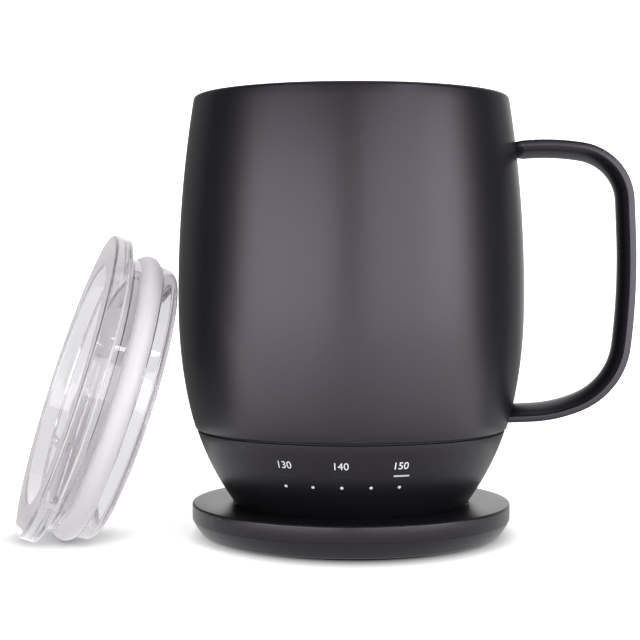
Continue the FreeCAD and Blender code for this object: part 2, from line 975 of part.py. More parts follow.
def coaster_bottom():
    """Bottom cover with the rounded undercut, a spigot into the tray and the board's ribs."""
    outer = coaster_radius() - parting_gap
    low = outer - coaster_undercut
    top = coaster_split() - parting_gap
    floor = coaster_floor()
    spigot_outer = coaster_radius() - coaster_wall - cover_clearance
    spigot_inner = spigot_outer - coaster_skin
    cover = turned([
        (0, coaster_lift),
        (low, coaster_lift),
        bowed((low, coaster_lift), (outer, top), undercut_bulge),
        (spigot_outer, top),
        (spigot_outer, top + coaster_skin),
        (spigot_inner, top + coaster_skin),
        (spigot_inner, floor),
        (0, floor),
    ])
    pad_recess = disc(low - pad_inset + cover_clearance, coaster_lift - cut_past, pad_thickness)
    cover = cover.cut(pad_recess)
    root = (pad_thickness + floor) / 2
    column_top = floor + coaster_skin
    for x, y in coaster_screw_places():
        cover = cover.fuse(disc(coaster_boss_radius, root, column_top, x, y))
    for x, y in coaster_screw_places():
        head_hole = disc(screw_head_radius + screw_clearance, pad_thickness - cut_past,
                         pad_thickness + screw_head_height, x, y)
        shank_hole = disc(screw_radius + screw_clearance, pad_thickness, column_top + cut_past, x, y)
        cover = cover.cut(head_hole).cut(shank_hole)
    leg_circle = coaster_board_radius - leg_radius
    for x, y in around(leg_circle, coaster_leg_count, coaster_leg_angle):
        cover = cover.fuse(disc(leg_radius, root, coaster_board_level(), x, y))
    return cover.cut(inlet_hole()).removeSplitter()


def coaster_pad():
    """Soft pad under the coaster."""
    radius = coaster_radius() - parting_gap - coaster_undercut - pad_inset
    return disc(radius, 0, pad_thickness)


def coaster_screw_group():
    seat = pad_thickness + screw_head_height
    tip = coaster_height - coaster_skin - screw_tip_gap
    screws = []
    for x, y in coaster_screw_places():
        head = disc(screw_head_radius, pad_thickness, seat, x, y)
        screws.append(joined(head, disc(screw_radius, seat, tip, x, y)))
    return screws


def coaster_board():
    """Round board under the pins, with a tab back to the inlet."""
    low = coaster_board_level()
    high = coaster_board_top()
    back = inlet_mouth() - coaster_board_setback
    tab = block(coaster_board_tab, back, low, high, 0, back / 2)
    inside = disc(coaster_radius() - coaster_wall - coaster_skin - 2 * cover_clearance, low, high)
    return joined(disc(coaster_board_radius, low, high), tab.common(inside))


def coaster_chips():
    """Charging controller and two capacitors on the coaster's board."""
    low = coaster_board_top()
    high = low + chip_height
    halfway = coaster_board_radius / 2
    chips = [block(coaster_chip_side, coaster_chip_side, low, high, 0, -halfway)]
    for x in (-capacitor_offset, capacitor_offset):
        chips.append(block(capacitor_length, capacitor_width, low, high, x, halfway))
    return chips


def coaster_inlet():
    """Power inlet: rounded metal shell with a tongue inside."""
    body = inlet_body(0, inlet_depth)
    hollow = inlet_body(-inlet_skin, inlet_depth - inlet_skin)
    shell = body.cut(hollow)
    middle = coaster_board_top() + inlet_height / 2
    start = inlet_mouth() - inlet_depth + inlet_skin / 2
    tongue = Part.makeBox(tongue_width, tongue_depth, tongue_thickness,
                          FreeCAD.Vector(-tongue_width / 2, start, middle - tongue_thickness / 2))
    return joined(shell, tongue)


def pin_foot():
    """Level of the plunger's lower end, a spring's length above the barrel's floor."""
    return coaster_board_top() + barrel_floor + 2 * pin_travel


def pin_barrels():
    """Sleeves that guide the charging pins."""
    top = seat_level - coaster_skin - part_clearance
    barrels = []
    for x, y in pin_places():
        sleeve = disc(barrel_radius, coaster_board_top(), top, x, y)
        bore = disc(pin_radius + pin_clearance, coaster_board_top() + barrel_floor,
                    top + cut_past, x, y)
        barrels.append(sleeve.cut(bore))
    return barrels


def pin_plunger(place):
    """Charging pin with a thinner tip, just under the mug's ring."""
    x, y = place
    tip_level = cover_level - pin_gap
    shoulder = tip_level - pin_tip
    shaft = disc(pin_radius, pin_foot(), shoulder, x, y)
    cone = Part.makeCone(pin_radius, pin_tip, pin_tip, FreeCAD.Vector(x, y, shoulder), UP)
    return joined(shaft, cone)


def pin_spring(place):
    """Space of the coil spring between the barrel's floor and the pin."""
    x, y = place
    low = coaster_board_top() + barrel_floor
    outer = disc(pin_radius, low, pin_foot(), x, y)
    inner = disc(pin_radius - spring_wall, low - cut_past, pin_foot() + cut_past, x, y)
    return outer.cut(inner)


def button_spring():
    """Space of the spring around the switch's stem."""
    inner = plunger_radius + part_clearance
    return ring(inner, inner + spring_wall, flange_top, switch_level)


def gasket_top():
    return flange_thickness + neck_length


def gasket_low():
    return gasket_top() + gasket_length


def lid_depth():
    return gasket_low() + plug_length


def rail_side():
    """Distance from the lid's middle to the inner face of a rail."""
    return slider_width / 2 + slider_clearance


def rail_start():
    """The rails begin just clear of the pool's round wall."""
    chord = math.sqrt(pool_radius ** 2 - (rail_side() + rail_width) ** 2)
    return rail_margin - chord


def lid_body():
    """Clear moulded lid: flange, neck, gasket seat and plug, with a pool above its floor."""
    body = turned([
        (0, -pool_depth),
        (pool_radius, -pool_depth, flange_round),
        (pool_radius, 0, flange_round),
        (flange_radius, 0, flange_round),
        (flange_radius, -flange_thickness, flange_foot_round),
        (neck_radius, -flange_thickness),
        (neck_radius, -gasket_top()),
        (gasket_seat_radius, -gasket_top()),
        (gasket_seat_radius, -gasket_low()),
        (plug_radius, -gasket_low()),
        (plug_foot_radius, -lid_depth(), plug_foot_round),
        (hollow_radius, -lid_depth()),
        (hollow_radius, -pool_depth - pool_floor),
        (0, -pool_depth - pool_floor),
    ])
    low = -pool_depth
    lip_low = low + slider_plate + 2 * slider_float
    middle = rail_start() + rail_length / 2
    for side in (-1, 1):
        rail = block(rail_length, rail_width, low - pool_floor / 2, lip_low + rail_lip,
                     middle, side * (rail_side() + rail_width / 2))
        lip = block(rail_length, rail_lip + slider_clearance, lip_low, lip_low + rail_lip,
                    middle, side * (rail_side() - (rail_lip + slider_clearance) / 2))
        body = body.fuse(rail).fuse(lip)
    spout_x = -pool_radius + spout_inset
    under = low - pool_floor - cut_past
    spout = block(spout_width, spout_length, under, low + cut_past, spout_x)
    vent = disc(vent_radius, under, low + cut_past, pool_radius - vent_inset)
    return body.cut(spout).cut(vent).removeSplitter()


def lid_gasket():
    """Soft seal around the plug, with a round bead."""
    low_edge = (gasket_edge_radius, -gasket_low())
    top_edge = (gasket_edge_radius, -gasket_top())
    return turned([
        (gasket_seat_radius, -gasket_low()),
        low_edge,
        bowed(low_edge, top_edge, gasket_bulge),
        (gasket_seat_radius, -gasket_top()),
    ])


def lid_slider():
    """Plate that covers the drinking hole, with a cross bar for a finger."""
    low = -pool_depth + slider_float
    top = low + slider_plate
    middle = rail_start() - slider_end + slider_length / 2
    plate = block(slider_length, slider_width, low, top, middle)
    tab_length = slider_width - 2 * (rail_lip + slider_clearance)
    tab = block(tab_width, tab_length, low + slider_plate / 2, top + tab_height, middle)
    return joined(plate, tab)


def lid_lean():
    """The lean, in degrees, at which the flange's rounded edge and the gasket's bead both
    touch the table."""
    bead = ((gasket_length / 2) ** 2 + gasket_bulge ** 2) / (2 * gasket_bulge)
    bead_radius = gasket_edge_radius + gasket_bulge - bead
    step = flange_radius - flange_foot_round - bead_radius
    drop = gasket_top() + gasket_length / 2 - (flange_thickness - flange_foot_round)
    turned_by = math.acos((bead - flange_foot_round) / math.hypot(step, drop))
    return math.degrees(turned_by - math.atan2(drop, step))


def lid_extent(angle, radius, depth, edge):
    """How far a rounded edge of the lid reaches from the middle of its top face, looking at
    this angle to its radius."""
    along = (radius - edge) * math.cos(angle) + (depth - edge) * math.sin(angle)
    return along + edge


def placed_lid(shape):
    """Turn a piece of the lid from its own frame to where it leans by the mug."""
    lean = math.radians(lid_lean())
    turn = math.radians(lid_turn_angle)
    level = lid_extent(lean, flange_radius, flange_thickness, flange_foot_round)
    reach = lid_extent(math.pi / 2 - lean, plug_foot_radius, lid_depth(), plug_foot_round)
    nearest = belly_radius + lid_clearance
    azimuth = math.radians(lid_azimuth_angle)
    x = nearest * math.cos(azimuth) - reach * math.cos(turn)
    y = nearest * math.sin(azimuth) - reach * math.sin(turn)
    normal = FreeCAD.Vector(-math.cos(turn) * math.cos(lean), -math.sin(turn) * math.cos(lean),
                            math.sin(lean))
    rise = FreeCAD.Vector(math.cos(turn) * math.sin(lean), math.sin(turn) * math.sin(lean),
                          math.cos(lean))
    across = normal.cross(rise)
    rotation = FreeCAD.Rotation(rise, across, normal, "ZXY")
    moved = shape.copy()
    moved.Placement = FreeCAD.Placement(FreeCAD.Vector(x, y, level), rotation)
    return moved


def main():
    os.makedirs("parts", exist_ok=True)
    lenses = bar_lenses()
    pieces = {
        "coaster_top": coaster_top(),
        "coaster_bottom": coaster_bottom(),
        "coaster_pad": coaster_pad(),
        "coaster_screws": Part.makeCompound(coaster_screw_group()),
        "coaster_board": coaster_board(),
        "coaster_chips": Part.makeCompound(coaster_chips()),
        "coaster_inlet": coaster_inlet(),
        "pin_barrels": Part.makeCompound(pin_barrels()),
        "pin_plunger_inner": pin_plunger(pin_places()[0]),
        "pin_plunger_outer": pin_plunger(pin_places()[1]),
        "pin_spring_inner": pin_spring(pin_places()[0]),
        "pin_spring_outer": pin_spring(pin_places()[1]),
        "mug_shell": mug_shell(),
        "mug_liner": mug_liner(),
        "handle": handle(),
        "seam_ring": seam_ring(),
        "base_housing": base_housing(),
        "base_cover": base_cover(),
        "base_seal": base_seal(),
        "base_foot": base_foot(),
        "base_screws": Part.makeCompound(base_screws()),
        "contact_ring_inner": contact_ring(inner_ring_radius, contact_post_places()[0]),
        "contact_ring_outer": contact_ring(outer_ring_radius, contact_post_places()[1]),
        "button_cap": button_cap(),
        "switch_plunger": switch_plunger(),
        "button_spring": button_spring(),
        "button_switch": button_switch(),
        "main_board": main_board(),
        "board_components": Part.makeCompound(board_components()),
        "battery_cells": Part.makeCompound(battery_cells()),
        "battery_cradle": battery_cradle(),
        "light_board": light_board(),
        "leds": Part.makeCompound(leds()),
        "dot_lenses": Part.makeCompound(dot_lenses()),
        "bar_lens_lit": lenses[-1],
        "bar_lenses_dark": Part.makeCompound(lenses[:-1]),
        "insulation_disc": insulation_disc(),
        "heater_film": heater_film(),
        "temperature_sensor": temperature_sensor(),
        "heater_leads": Part.makeCompound(heater_leads()),
        "lid_body": placed_lid(lid_body()),
        "lid_gasket": placed_lid(lid_gasket()),
        "lid_slider": placed_lid(lid_slider()),
    }
    for name, shape in pieces.items():
        save(shape, name)
    print("coaster radius %.2f, handle reach %.2f, rim level %.2f, cup floor %.2f, lid lean %.2f" % (
        coaster_radius(), pieces["handle"].optimalBoundingBox().XMax, rim_level, cup_floor, lid_lean()))


main()
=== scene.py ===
import bmesh
import bpy
import math
from mathutils import Matrix, Vector


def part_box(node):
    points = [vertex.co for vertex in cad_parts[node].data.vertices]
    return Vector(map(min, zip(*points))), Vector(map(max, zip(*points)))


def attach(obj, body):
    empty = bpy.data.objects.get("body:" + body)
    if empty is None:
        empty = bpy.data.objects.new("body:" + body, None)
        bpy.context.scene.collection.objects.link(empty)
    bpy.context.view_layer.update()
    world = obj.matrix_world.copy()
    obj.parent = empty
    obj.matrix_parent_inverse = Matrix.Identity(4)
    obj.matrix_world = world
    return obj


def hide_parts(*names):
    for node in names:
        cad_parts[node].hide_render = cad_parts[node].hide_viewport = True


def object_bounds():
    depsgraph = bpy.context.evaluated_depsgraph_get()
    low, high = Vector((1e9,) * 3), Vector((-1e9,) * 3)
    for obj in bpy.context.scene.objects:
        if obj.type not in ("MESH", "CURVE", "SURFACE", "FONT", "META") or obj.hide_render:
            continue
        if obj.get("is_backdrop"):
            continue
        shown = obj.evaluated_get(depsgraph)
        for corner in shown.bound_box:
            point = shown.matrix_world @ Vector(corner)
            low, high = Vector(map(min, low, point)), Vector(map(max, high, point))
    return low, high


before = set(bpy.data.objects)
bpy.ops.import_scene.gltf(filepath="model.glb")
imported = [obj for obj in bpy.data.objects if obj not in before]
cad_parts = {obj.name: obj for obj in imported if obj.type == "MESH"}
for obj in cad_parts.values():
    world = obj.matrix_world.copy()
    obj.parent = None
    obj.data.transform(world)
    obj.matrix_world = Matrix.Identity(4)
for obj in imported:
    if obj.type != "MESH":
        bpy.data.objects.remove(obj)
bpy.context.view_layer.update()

# Camera: the eye stands at about two thirds of the mug's height, a little to the handle's
# side, and looks slightly down at its front.
eye = (0.0271, -0.4109, 0.0720)
eye_pitch = math.radians(2.236)
eye_turn = math.atan2(0.0854, 0.9963)


def placed(name, data):
    """A new object in the scene."""
    thing = bpy.data.objects.new(name, data)
    bpy.context.scene.collection.objects.link(thing)
    return thing


camera = placed("camera", bpy.data.cameras.new("camera"))
camera.data.sensor_width = 36.0
camera.data.lens = 88.52
camera.location = eye
camera.rotation_euler = (math.pi / 2 - eye_pitch, 0.0, eye_turn)
bpy.context.scene.camera = camera
bpy.context.scene.view_settings.view_transform = "Standard"

# Floor and backdrop: one white sheet that lies flat under the object and curves up behind
# it. At the foot of the coaster and of the lid it takes the lamps' soft shadow and a painted
# shadow besides, for its colour and its glow fall off close to them; it is plain white
# further away. Mirrors and clear plastic see it in levels of their own.
floor_half_width = 2.0
floor_front = -1.8
floor_back = 0.9
cove_radius = 0.5
cove_steps = 16
backdrop_height = 1.6
floor_white = 0.85
# Painted shadow: the sheet's white falls to this level right at the feet.
painted_shadow_white = 0.05
near_glow = 0.55
far_glow = 1.0
clear_levels = (0.84, 0.62)
shadow_middle = (0.0018, -0.0005, 0.0)
shadow_squeeze = (1.17, 1.0, 1.0)
painted_shadow_reach = (0.0375, 0.0518)
lid_foot = (-0.074, -0.015, 0.0)
lid_painted_shadow_reach = (0.008, 0.024)
glow_start = 0.16
glow_end = 0.42
mirror_levels = (0.82, 2.00, 2.80)
mirror_reaches = ((0.058, 0.135), (0.12, 0.26))
mirror_right = (0.9978, 0.0663, 0.0)
mirror_left_share = 1.14
mirror_middle_share = 0.74
mirror_right_share = 0.92
side_blend = 0.5
back_levels = (0.48, 1.14)
back_reach = (-0.42, -0.22)
back_blend = (-0.02, 0.15)
back_floor = (0.35, 0.80)
back_floor_share = 0.45

sheet = bmesh.new()
front_left = sheet.verts.new((-floor_half_width, floor_front, 0))
front_right = sheet.verts.new((floor_half_width, floor_front, 0))
edge = sheet.edges.new((front_left, front_right))


def verts_of(parts):
    """The vertices among the parts of a shape."""
    return [part for part in parts if isinstance(part, bmesh.types.BMVert)]


def edges_of(parts):
    """The edges among the parts of a shape."""
    return [part for part in parts if isinstance(part, bmesh.types.BMEdge)]


def pulled(bm, edges, way):
    """Draws edges out along a vector and returns the new edges."""
    grown = bmesh.ops.extrude_edge_only(bm, edges=edges)["geom"]
    bmesh.ops.translate(bm, verts=verts_of(grown), vec=way)
    return edges_of(grown)


def swung(bm, parts, centre, axis, angle, steps):
    """Swings vertices or edges round an axis and returns where they end."""
    turned = bmesh.ops.spin(bm, geom=parts, cent=centre, axis=axis, angle=angle, steps=steps,
                            use_merge=False)
    return turned["geom_last"]


edge = pulled(sheet, [edge], (0, floor_back - floor_front, 0))
edge = edges_of(swung(sheet, edge, (0, floor_back, cove_radius), (1, 0, 0), math.pi / 2,
                      cove_steps))
pulled(sheet, edge, (0, 0, backdrop_height))
floor_mesh = bpy.data.meshes.new("floor")
sheet.to_mesh(floor_mesh)
sheet.free()
floor_mesh.shade_smooth()
floor = placed("floor", floor_mesh)
floor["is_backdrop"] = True


def fed(node, inputs):
    """Sets a node's inputs, or links them where the value is a socket."""
    for name, value in inputs.items():
        if isinstance(value, bpy.types.NodeSocket):
            node.id_data.links.new(value, node.inputs[name])
        else:
            node.inputs[name].default_value = value
    return node


def wired(tree, kind, inputs, **settings):
    """A new node with its settings and its inputs."""
    node = tree.nodes.new(kind)
    for name, value in settings.items():
        setattr(node, name, value)
    return fed(node, inputs)


def painted(name):
    """A new material and its empty node tree."""
    material = bpy.data.materials.new(name)
    material.use_nodes = True
    material.node_tree.nodes.clear()
    return material, material.node_tree


floor_paint, floor_tree = painted("white_sheet")
place = wired(floor_tree, "ShaderNodeTexCoord", {}).outputs["Object"]
path = wired(floor_tree, "ShaderNodeLightPath", {}).outputs


def joined(operation, first, *rest):
    """The sum or product of values, each a socket or a number."""
    for other in rest:
        node = wired(floor_tree, "ShaderNodeMath", {0: first, 1: other}, operation=operation)
        first = node.outputs[0]
    return first


def eased(value, reach, low, high, kind="SMOOTHSTEP"):
    """A value that eases from one level to another while the given one crosses a reach."""
    span = {"Value": value, "From Min": reach[0], "From Max": reach[1], "To Min": low, "To Max": high}
    return wired(floor_tree, "ShaderNodeMapRange", span, interpolation_type=kind).outputs["Result"]


def measured(operation, first, second=(0.0, 0.0, 0.0)):
    """A vector worked out from two others."""
    return wired(floor_tree, "ShaderNodeVectorMath", {0: first, 1: second}, operation=operation)


def distance_from(middle, squeeze=(1.0, 1.0, 1.0)):
    """How far the floor lies from a point; a squeeze shortens the reach along an axis."""
    scaled = measured("MULTIPLY", place, squeeze)
    return measured("DISTANCE", scaled.outputs["Vector"], middle).outputs["Value"]


# Painted shadow: close to the coaster's foot and the lid's foot the sheet's glow and its white fall
# off.
painted_shadow_mask = eased(distance_from(shadow_middle, shadow_squeeze), painted_shadow_reach, 0.0, 1.0, "LINEAR")
lid_painted_shadow_mask = eased(distance_from(lid_foot), lid_painted_shadow_reach, 0.0, 1.0)
from_mug = distance_from((0.0, 0.0, 0.0))
seen = joined("MULTIPLY", painted_shadow_mask, lid_painted_shadow_mask, near_glow)
seen = joined("ADD", seen, eased(from_mug, (glow_start, glow_end), 0.0, far_glow - near_glow))
seen = joined("MULTIPLY", seen, path["Is Camera Ray"])
# Painted shadow in the sheet's colour: white darkens towards near black at the feet.
white = eased(painted_shadow_mask, (0.0, 1.0), painted_shadow_white, floor_white, "LINEAR")
paint = wired(floor_tree, "ShaderNodeCombineColor", {0: white, 1: white, 2: white})
matt = wired(floor_tree, "ShaderNodeBsdfDiffuse", {"Color": paint.outputs[0]})
glow = wired(floor_tree, "ShaderNodeEmission", {"Strength": seen})
sheet_look = wired(floor_tree, "ShaderNodeAddShader", {0: matt.outputs[0], 1: glow.outputs[0]})

unit = measured("NORMALIZE", place).outputs["Vector"]
side = measured("DOT_PRODUCT", unit, mirror_right).outputs["Value"]
spot = wired(floor_tree, "ShaderNodeSeparateXYZ", {0: place}).outputs
share = joined("ADD", eased(side, (-side_blend, 0.0), mirror_left_share, mirror_middle_share),
               eased(side, (0.0, side_blend), 0.0, mirror_right_share - mirror_middle_share))
near_level, middle_level, far_level = mirror_levels
mirror_level = joined("ADD", eased(from_mug, mirror_reaches[0], 0.0, middle_level - near_level),
                      eased(from_mug, mirror_reaches[1], 0.0, far_level - middle_level))
mirror_level = joined("ADD", near_level, joined("MULTIPLY", mirror_level, share))
mirror_level = joined("MULTIPLY", mirror_level, eased(spot["Y"], back_blend, 1.0, 0.0))
back_level = joined("MULTIPLY", eased(spot["X"], back_reach, *back_levels),
                    eased(spot["Y"], back_blend, 0.0, 1.0),
                    eased(spot["Y"], back_floor, back_floor_share, 1.0))
mirrored = joined("MULTIPLY", path["Is Glossy Ray"],
                  joined("SUBTRACT", 1.0, path["Is Transmission Ray"]))
mirror_level = joined("MULTIPLY", joined("ADD", mirror_level, back_level), mirrored)
clear_look = joined("MULTIPLY", path["Is Transmission Ray"],
                    eased(path["Glossy Depth"], (0.0, 1.0), *clear_levels, "LINEAR"))
mirror_look = wired(floor_tree, "ShaderNodeEmission",
                    {"Strength": joined("ADD", mirror_level, clear_look)})
either = wired(floor_tree, "ShaderNodeMixShader", {
    0: joined("ADD", mirrored, path["Is Transmission Ray"]),
    1: sheet_look.outputs[0], 2: mirror_look.outputs[0]})
wired(floor_tree, "ShaderNodeOutputMaterial", {"Surface": either.outputs[0]})
floor_mesh.materials.append(floor_paint)

# Studio light: long low soft panels on both sides of the camera, two high lamps and a plain
# white surround. The mug mirrors the dark screens round it, and the mats that carry them
# on over the floor, as its dark bands.
world_grey = 0.75
panel_distance = 1.0
panels = {
    "left_panel": {"start": -72.0, "end": -7.0, "rise": 0.42, "glow": 3.3},
    "near_right_panel": {"start": 6.0, "end": 50.0, "rise": 0.50, "glow": 2.9},
    "far_right_panel": {"start": 50.0, "end": 77.0, "rise": 0.49, "glow": 3.9},
}
high_lamp_size = 0.25
high_lamp_distance = 0.72
high_lamp_level = 0.72
high_lamp_aim = Vector((0.0, 0.0, 0.04))
high_lamps = {
    "high_left_lamp": {"angle": -47.0, "glow": 6.0},
    "high_right_lamp": {"angle": 44.0, "glow": 13.0},
}
screen_near = 0.095
screen_middle = 0.24
screen_distance = 1.05
screen_rise = 1.0
screen_roof = 0.25
canopy_level = 0.50
screen_steps = 12
left_start = 80.0
right_start = 88.0
near_mat_left_start = 76.0
far_mat_right_start = 84.0
dark_end = 120.0
left_end = 158.0
right_end = 148.0
back_grey = 0.32
near_grey = 0.42
left_grey = 0.22
roof_grey = 0.08
clear_grey = 0.75
camera_angle = -86.2
mm = 0.001


def beside(angle, distance, height):
    """A place round the mug: the angle is measured from the camera, positive to the right."""
    turn = math.radians(camera_angle + angle)
    return Vector((distance * math.cos(turn), distance * math.sin(turn), height))


world = bpy.data.worlds.new("studio")
bpy.context.scene.world = world
world.use_nodes = True
tree = world.node_tree
path = wired(tree, "ShaderNodeLightPath", {}).outputs
both = wired(tree, "ShaderNodeMath", {0: path["Is Camera Ray"], 1: path["Is Glossy Ray"]},
             operation="MAXIMUM")
every = wired(tree, "ShaderNodeMath", {0: both.outputs[0], 1: path["Is Transmission Ray"]},
              operation="MAXIMUM")
level = wired(tree, "ShaderNodeMapRange",
              {"Value": every.outputs[0], "To Min": world_grey, "To Max": 1.0})
fed(tree.nodes["Background"], {"Color": (1, 1, 1, 1), "Strength": level.outputs["Result"]})


def soft_lamp(name, place, aim, width, rise, glow):
    """A rectangular soft lamp whose face has the given glow."""
    lamp = bpy.data.lights.new(name, "AREA")
    lamp.shape = "RECTANGLE"
    lamp.size = width
    lamp.size_y = rise
    lamp.energy = math.pi * glow * width * rise
    holder = placed(name, lamp)
    holder.location = place
    holder.rotation_euler = (aim - place).to_track_quat("-Z", "Y").to_euler()
    holder.visible_camera = False


for name, panel in panels.items():
    half_angle = math.radians((panel["end"] - panel["start"]) / 2)
    place = beside((panel["start"] + panel["end"]) / 2, panel_distance, panel["rise"] / 2)
    soft_lamp(name, place, Vector((0, 0, place.z)), 2 * panel_distance * math.tan(half_angle),
              panel["rise"], panel["glow"])
for name, lamp in high_lamps.items():
    soft_lamp(name, beside(lamp["angle"], high_lamp_distance, high_lamp_level), high_lamp_aim,
              high_lamp_size, high_lamp_size, lamp["glow"])


def screen(name, start_angle, end_angle, grey, through, *places):
    """A curved screen swept round the mug through places (distance, height). Mirrors show
    it in one grey and clear plastic, if at all, in another."""
    paint, tree = painted(name)
    path = wired(tree, "ShaderNodeLightPath", {})
    shade = wired(tree, "ShaderNodeMapRange", {
        "Value": path.outputs["Is Transmission Ray"], "To Min": grey, "To Max": through or grey})
    glow = wired(tree, "ShaderNodeEmission", {"Strength": shade.outputs["Result"]})
    wired(tree, "ShaderNodeOutputMaterial", {"Surface": glow.outputs[0]})
    bm = bmesh.new()
    corners = [bm.verts.new(beside(start_angle, *place)) for place in places]
    sides = [bm.edges.new(pair) for pair in zip(corners, corners[1:])]
    sweep = math.radians(end_angle - start_angle)
    swung(bm, corners + sides, (0, 0, 0), (0, 0, 1), sweep, screen_steps)
    mesh = bpy.data.meshes.new(name)
    bm.to_mesh(mesh)
    bm.free()
    mesh.materials.append(paint)
    board = placed(name, mesh)
    for way in ("camera", "diffuse", "volume_scatter", "shadow"):
        setattr(board, "visible_" + way, False)
    board.visible_transmission = through > 0
    board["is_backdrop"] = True


near_mat = ((screen_near, mm), (screen_middle, mm))
far_mat = ((screen_middle, mm), (screen_distance, mm))
screen("left_near_mat", -left_end, -near_mat_left_start, left_grey, 0.0, *near_mat)
screen("right_near_mat", right_start, right_end, near_grey, 0.0, *near_mat)
screen("left_mat", -dark_end, -left_start, 0.0, 0.0, *far_mat)
screen("right_mat", far_mat_right_start, dark_end, 0.0, 0.0, *far_mat)
screen("left_back_mat", -left_end, -dark_end, left_grey, 0.0, *far_mat)
screen("right_back_mat", dark_end, right_end, back_grey, 0.0, *far_mat)
wall = ((screen_distance, mm), (screen_distance, screen_rise), (screen_roof, screen_rise))
screen("left_screen", -dark_end, -left_start, 0.0, clear_grey, *wall)
screen("right_screen", right_start, dark_end, 0.0, clear_grey, *wall)
screen("left_back_screen", -left_end, -dark_end, left_grey, 0.0, *wall)
screen("right_back_screen", dark_end, right_end, back_grey, 0.0, *wall)
screen("canopy", -left_start, right_start, roof_grey, clear_grey, (screen_distance, canopy_level),
       (screen_roof, screen_rise))

# Outer shell of the mug: one skin of pressed steel with a satin black powder coat. It
# swells to the belly, draws in to the seam below and turns in over the rim.
shell_low, shell_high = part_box("mug_shell")
belly_radius = shell_high.x
rim_level = shell_high.z
seam_top = shell_low.z
belly_level = 62.1 * mm
upper_sweep = 320.0 * mm
middle_sweep = 122.7 * mm
lower_sweep = 69.7 * mm
middle_top = 58.4 * mm
lower_top = 36.0 * mm
rim_round = 1.2 * mm
shell_wall = 0.9 * mm
lip_radius = 39.0 * mm
lip_drop = 1.0 * mm
seam_edge = 0.25 * mm
wall_step = 2.5 * mm
turns = 144
tiny = 1e-5
crease_angle = 32.0
coat_colour = (0.0068, 0.0062, 0.0076)
coat_sheen = (0.93, 0.86, 1.0)
coat_roughness = 0.325
coat_grain = 0.35 * mm
coat_relief = 0.004 * mm
cloud_scale = 60.0
noise_span = (0.3, 0.7)
roughness_drift = 0.08


def wall_arcs():
    """The wall's three arcs from the lowest up: centre, radius and the angle each ends at."""
    upper = Vector((belly_radius - upper_sweep, belly_level))
    join = math.asin((middle_top - upper.y) / upper_sweep)
    step = upper_sweep - middle_sweep
    middle = upper + step * Vector((math.cos(join), math.sin(join)))
    low_join = math.asin((lower_top - middle.y) / middle_sweep)
    step = middle_sweep - lower_sweep
    lower = middle + step * Vector((math.cos(low_join), math.sin(low_join)))
    return ((lower, lower_sweep, low_join), (middle, middle_sweep, join),
            (upper, upper_sweep, math.pi / 2))


def wall_radius(level, inset=0.0):
    """Distance from the axis to the wall, or to a surface this far inside it."""
    for centre, radius, top_angle in wall_arcs():
        rise = (level - centre.y) / (radius - inset)
        if rise <= math.sin(top_angle):
            return centre.x + (radius - inset) * math.sqrt(1 - rise * rise)


def swing(bm, vert, centre, angle, steps):
    """An arc of an outline: swings a vertex up and inwards about a centre."""
    return verts_of(swung(bm, [vert], (centre[0], 0, centre[1]), (0, -1, 0), angle, steps))[0]


def straight(bm, vert, *points):
    """Straight steps of an outline through points (distance from the axis, level)."""
    for radius, level in points:
        vert = bmesh.ops.extrude_vert_indiv(bm, verts=[vert])["verts"][0]
        vert.co = (radius, 0, level)
    return vert


def along_wall(bm, vert, start, end, inset=0.0):
    """The part of an outline that follows the wall from one level to another."""
    arcs = []
    bottom_angle = -math.pi / 2
    for centre, radius, top_angle in wall_arcs():
        reach = []
        for level in (start, end):
            rise = max(-1.0, min(1.0, (level - centre.y) / (radius - inset)))
            reach.append(max(bottom_angle, min(top_angle, math.asin(rise))))
        arcs.append((centre, radius, reach[1] - reach[0]))
        bottom_angle = top_angle
    for centre, radius, angle in arcs if end > start else reversed(arcs):
        if abs(angle) > tiny:
            steps = max(1, round(abs(angle) * radius / wall_step))
            vert = swing(bm, vert, centre, angle, steps)
    return vert


def softened(bm, vert, reach, steps=3):
    """Rounds a corner of an outline."""
    bmesh.ops.bevel(bm, geom=[vert], offset=reach, offset_type="OFFSET", segments=steps,
                    profile=0.5, affect="VERTICES", material=-1)


def lathe(bm, steps=turns):
    """Turns an outline all the way round the upright axis."""
    bmesh.ops.spin(bm, geom=bm.verts[:] + bm.edges[:], cent=(0, 0, 0), axis=(0, 0, 1),
                   angle=math.tau, steps=steps, use_merge=True)


def made(bm, name, body, slot, material, *nodes, crease=crease_angle):
    """Turns a finished bmesh into a piece that rides on a body and stands for CAD nodes."""
    bmesh.ops.remove_doubles(bm, verts=bm.verts[:], dist=1e-6)
    bmesh.ops.recalc_face_normals(bm, faces=bm.faces[:])
    mesh = bpy.data.meshes.new(name)
    bm.to_mesh(mesh)
    bm.free()
    mesh.shade_smooth()
    mesh.set_sharp_from_angle(angle=math.radians(crease))
    mesh.materials.append(material)
    piece = placed(name, mesh)
    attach(piece, body)
    if nodes:
        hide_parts(*nodes)
    return piece


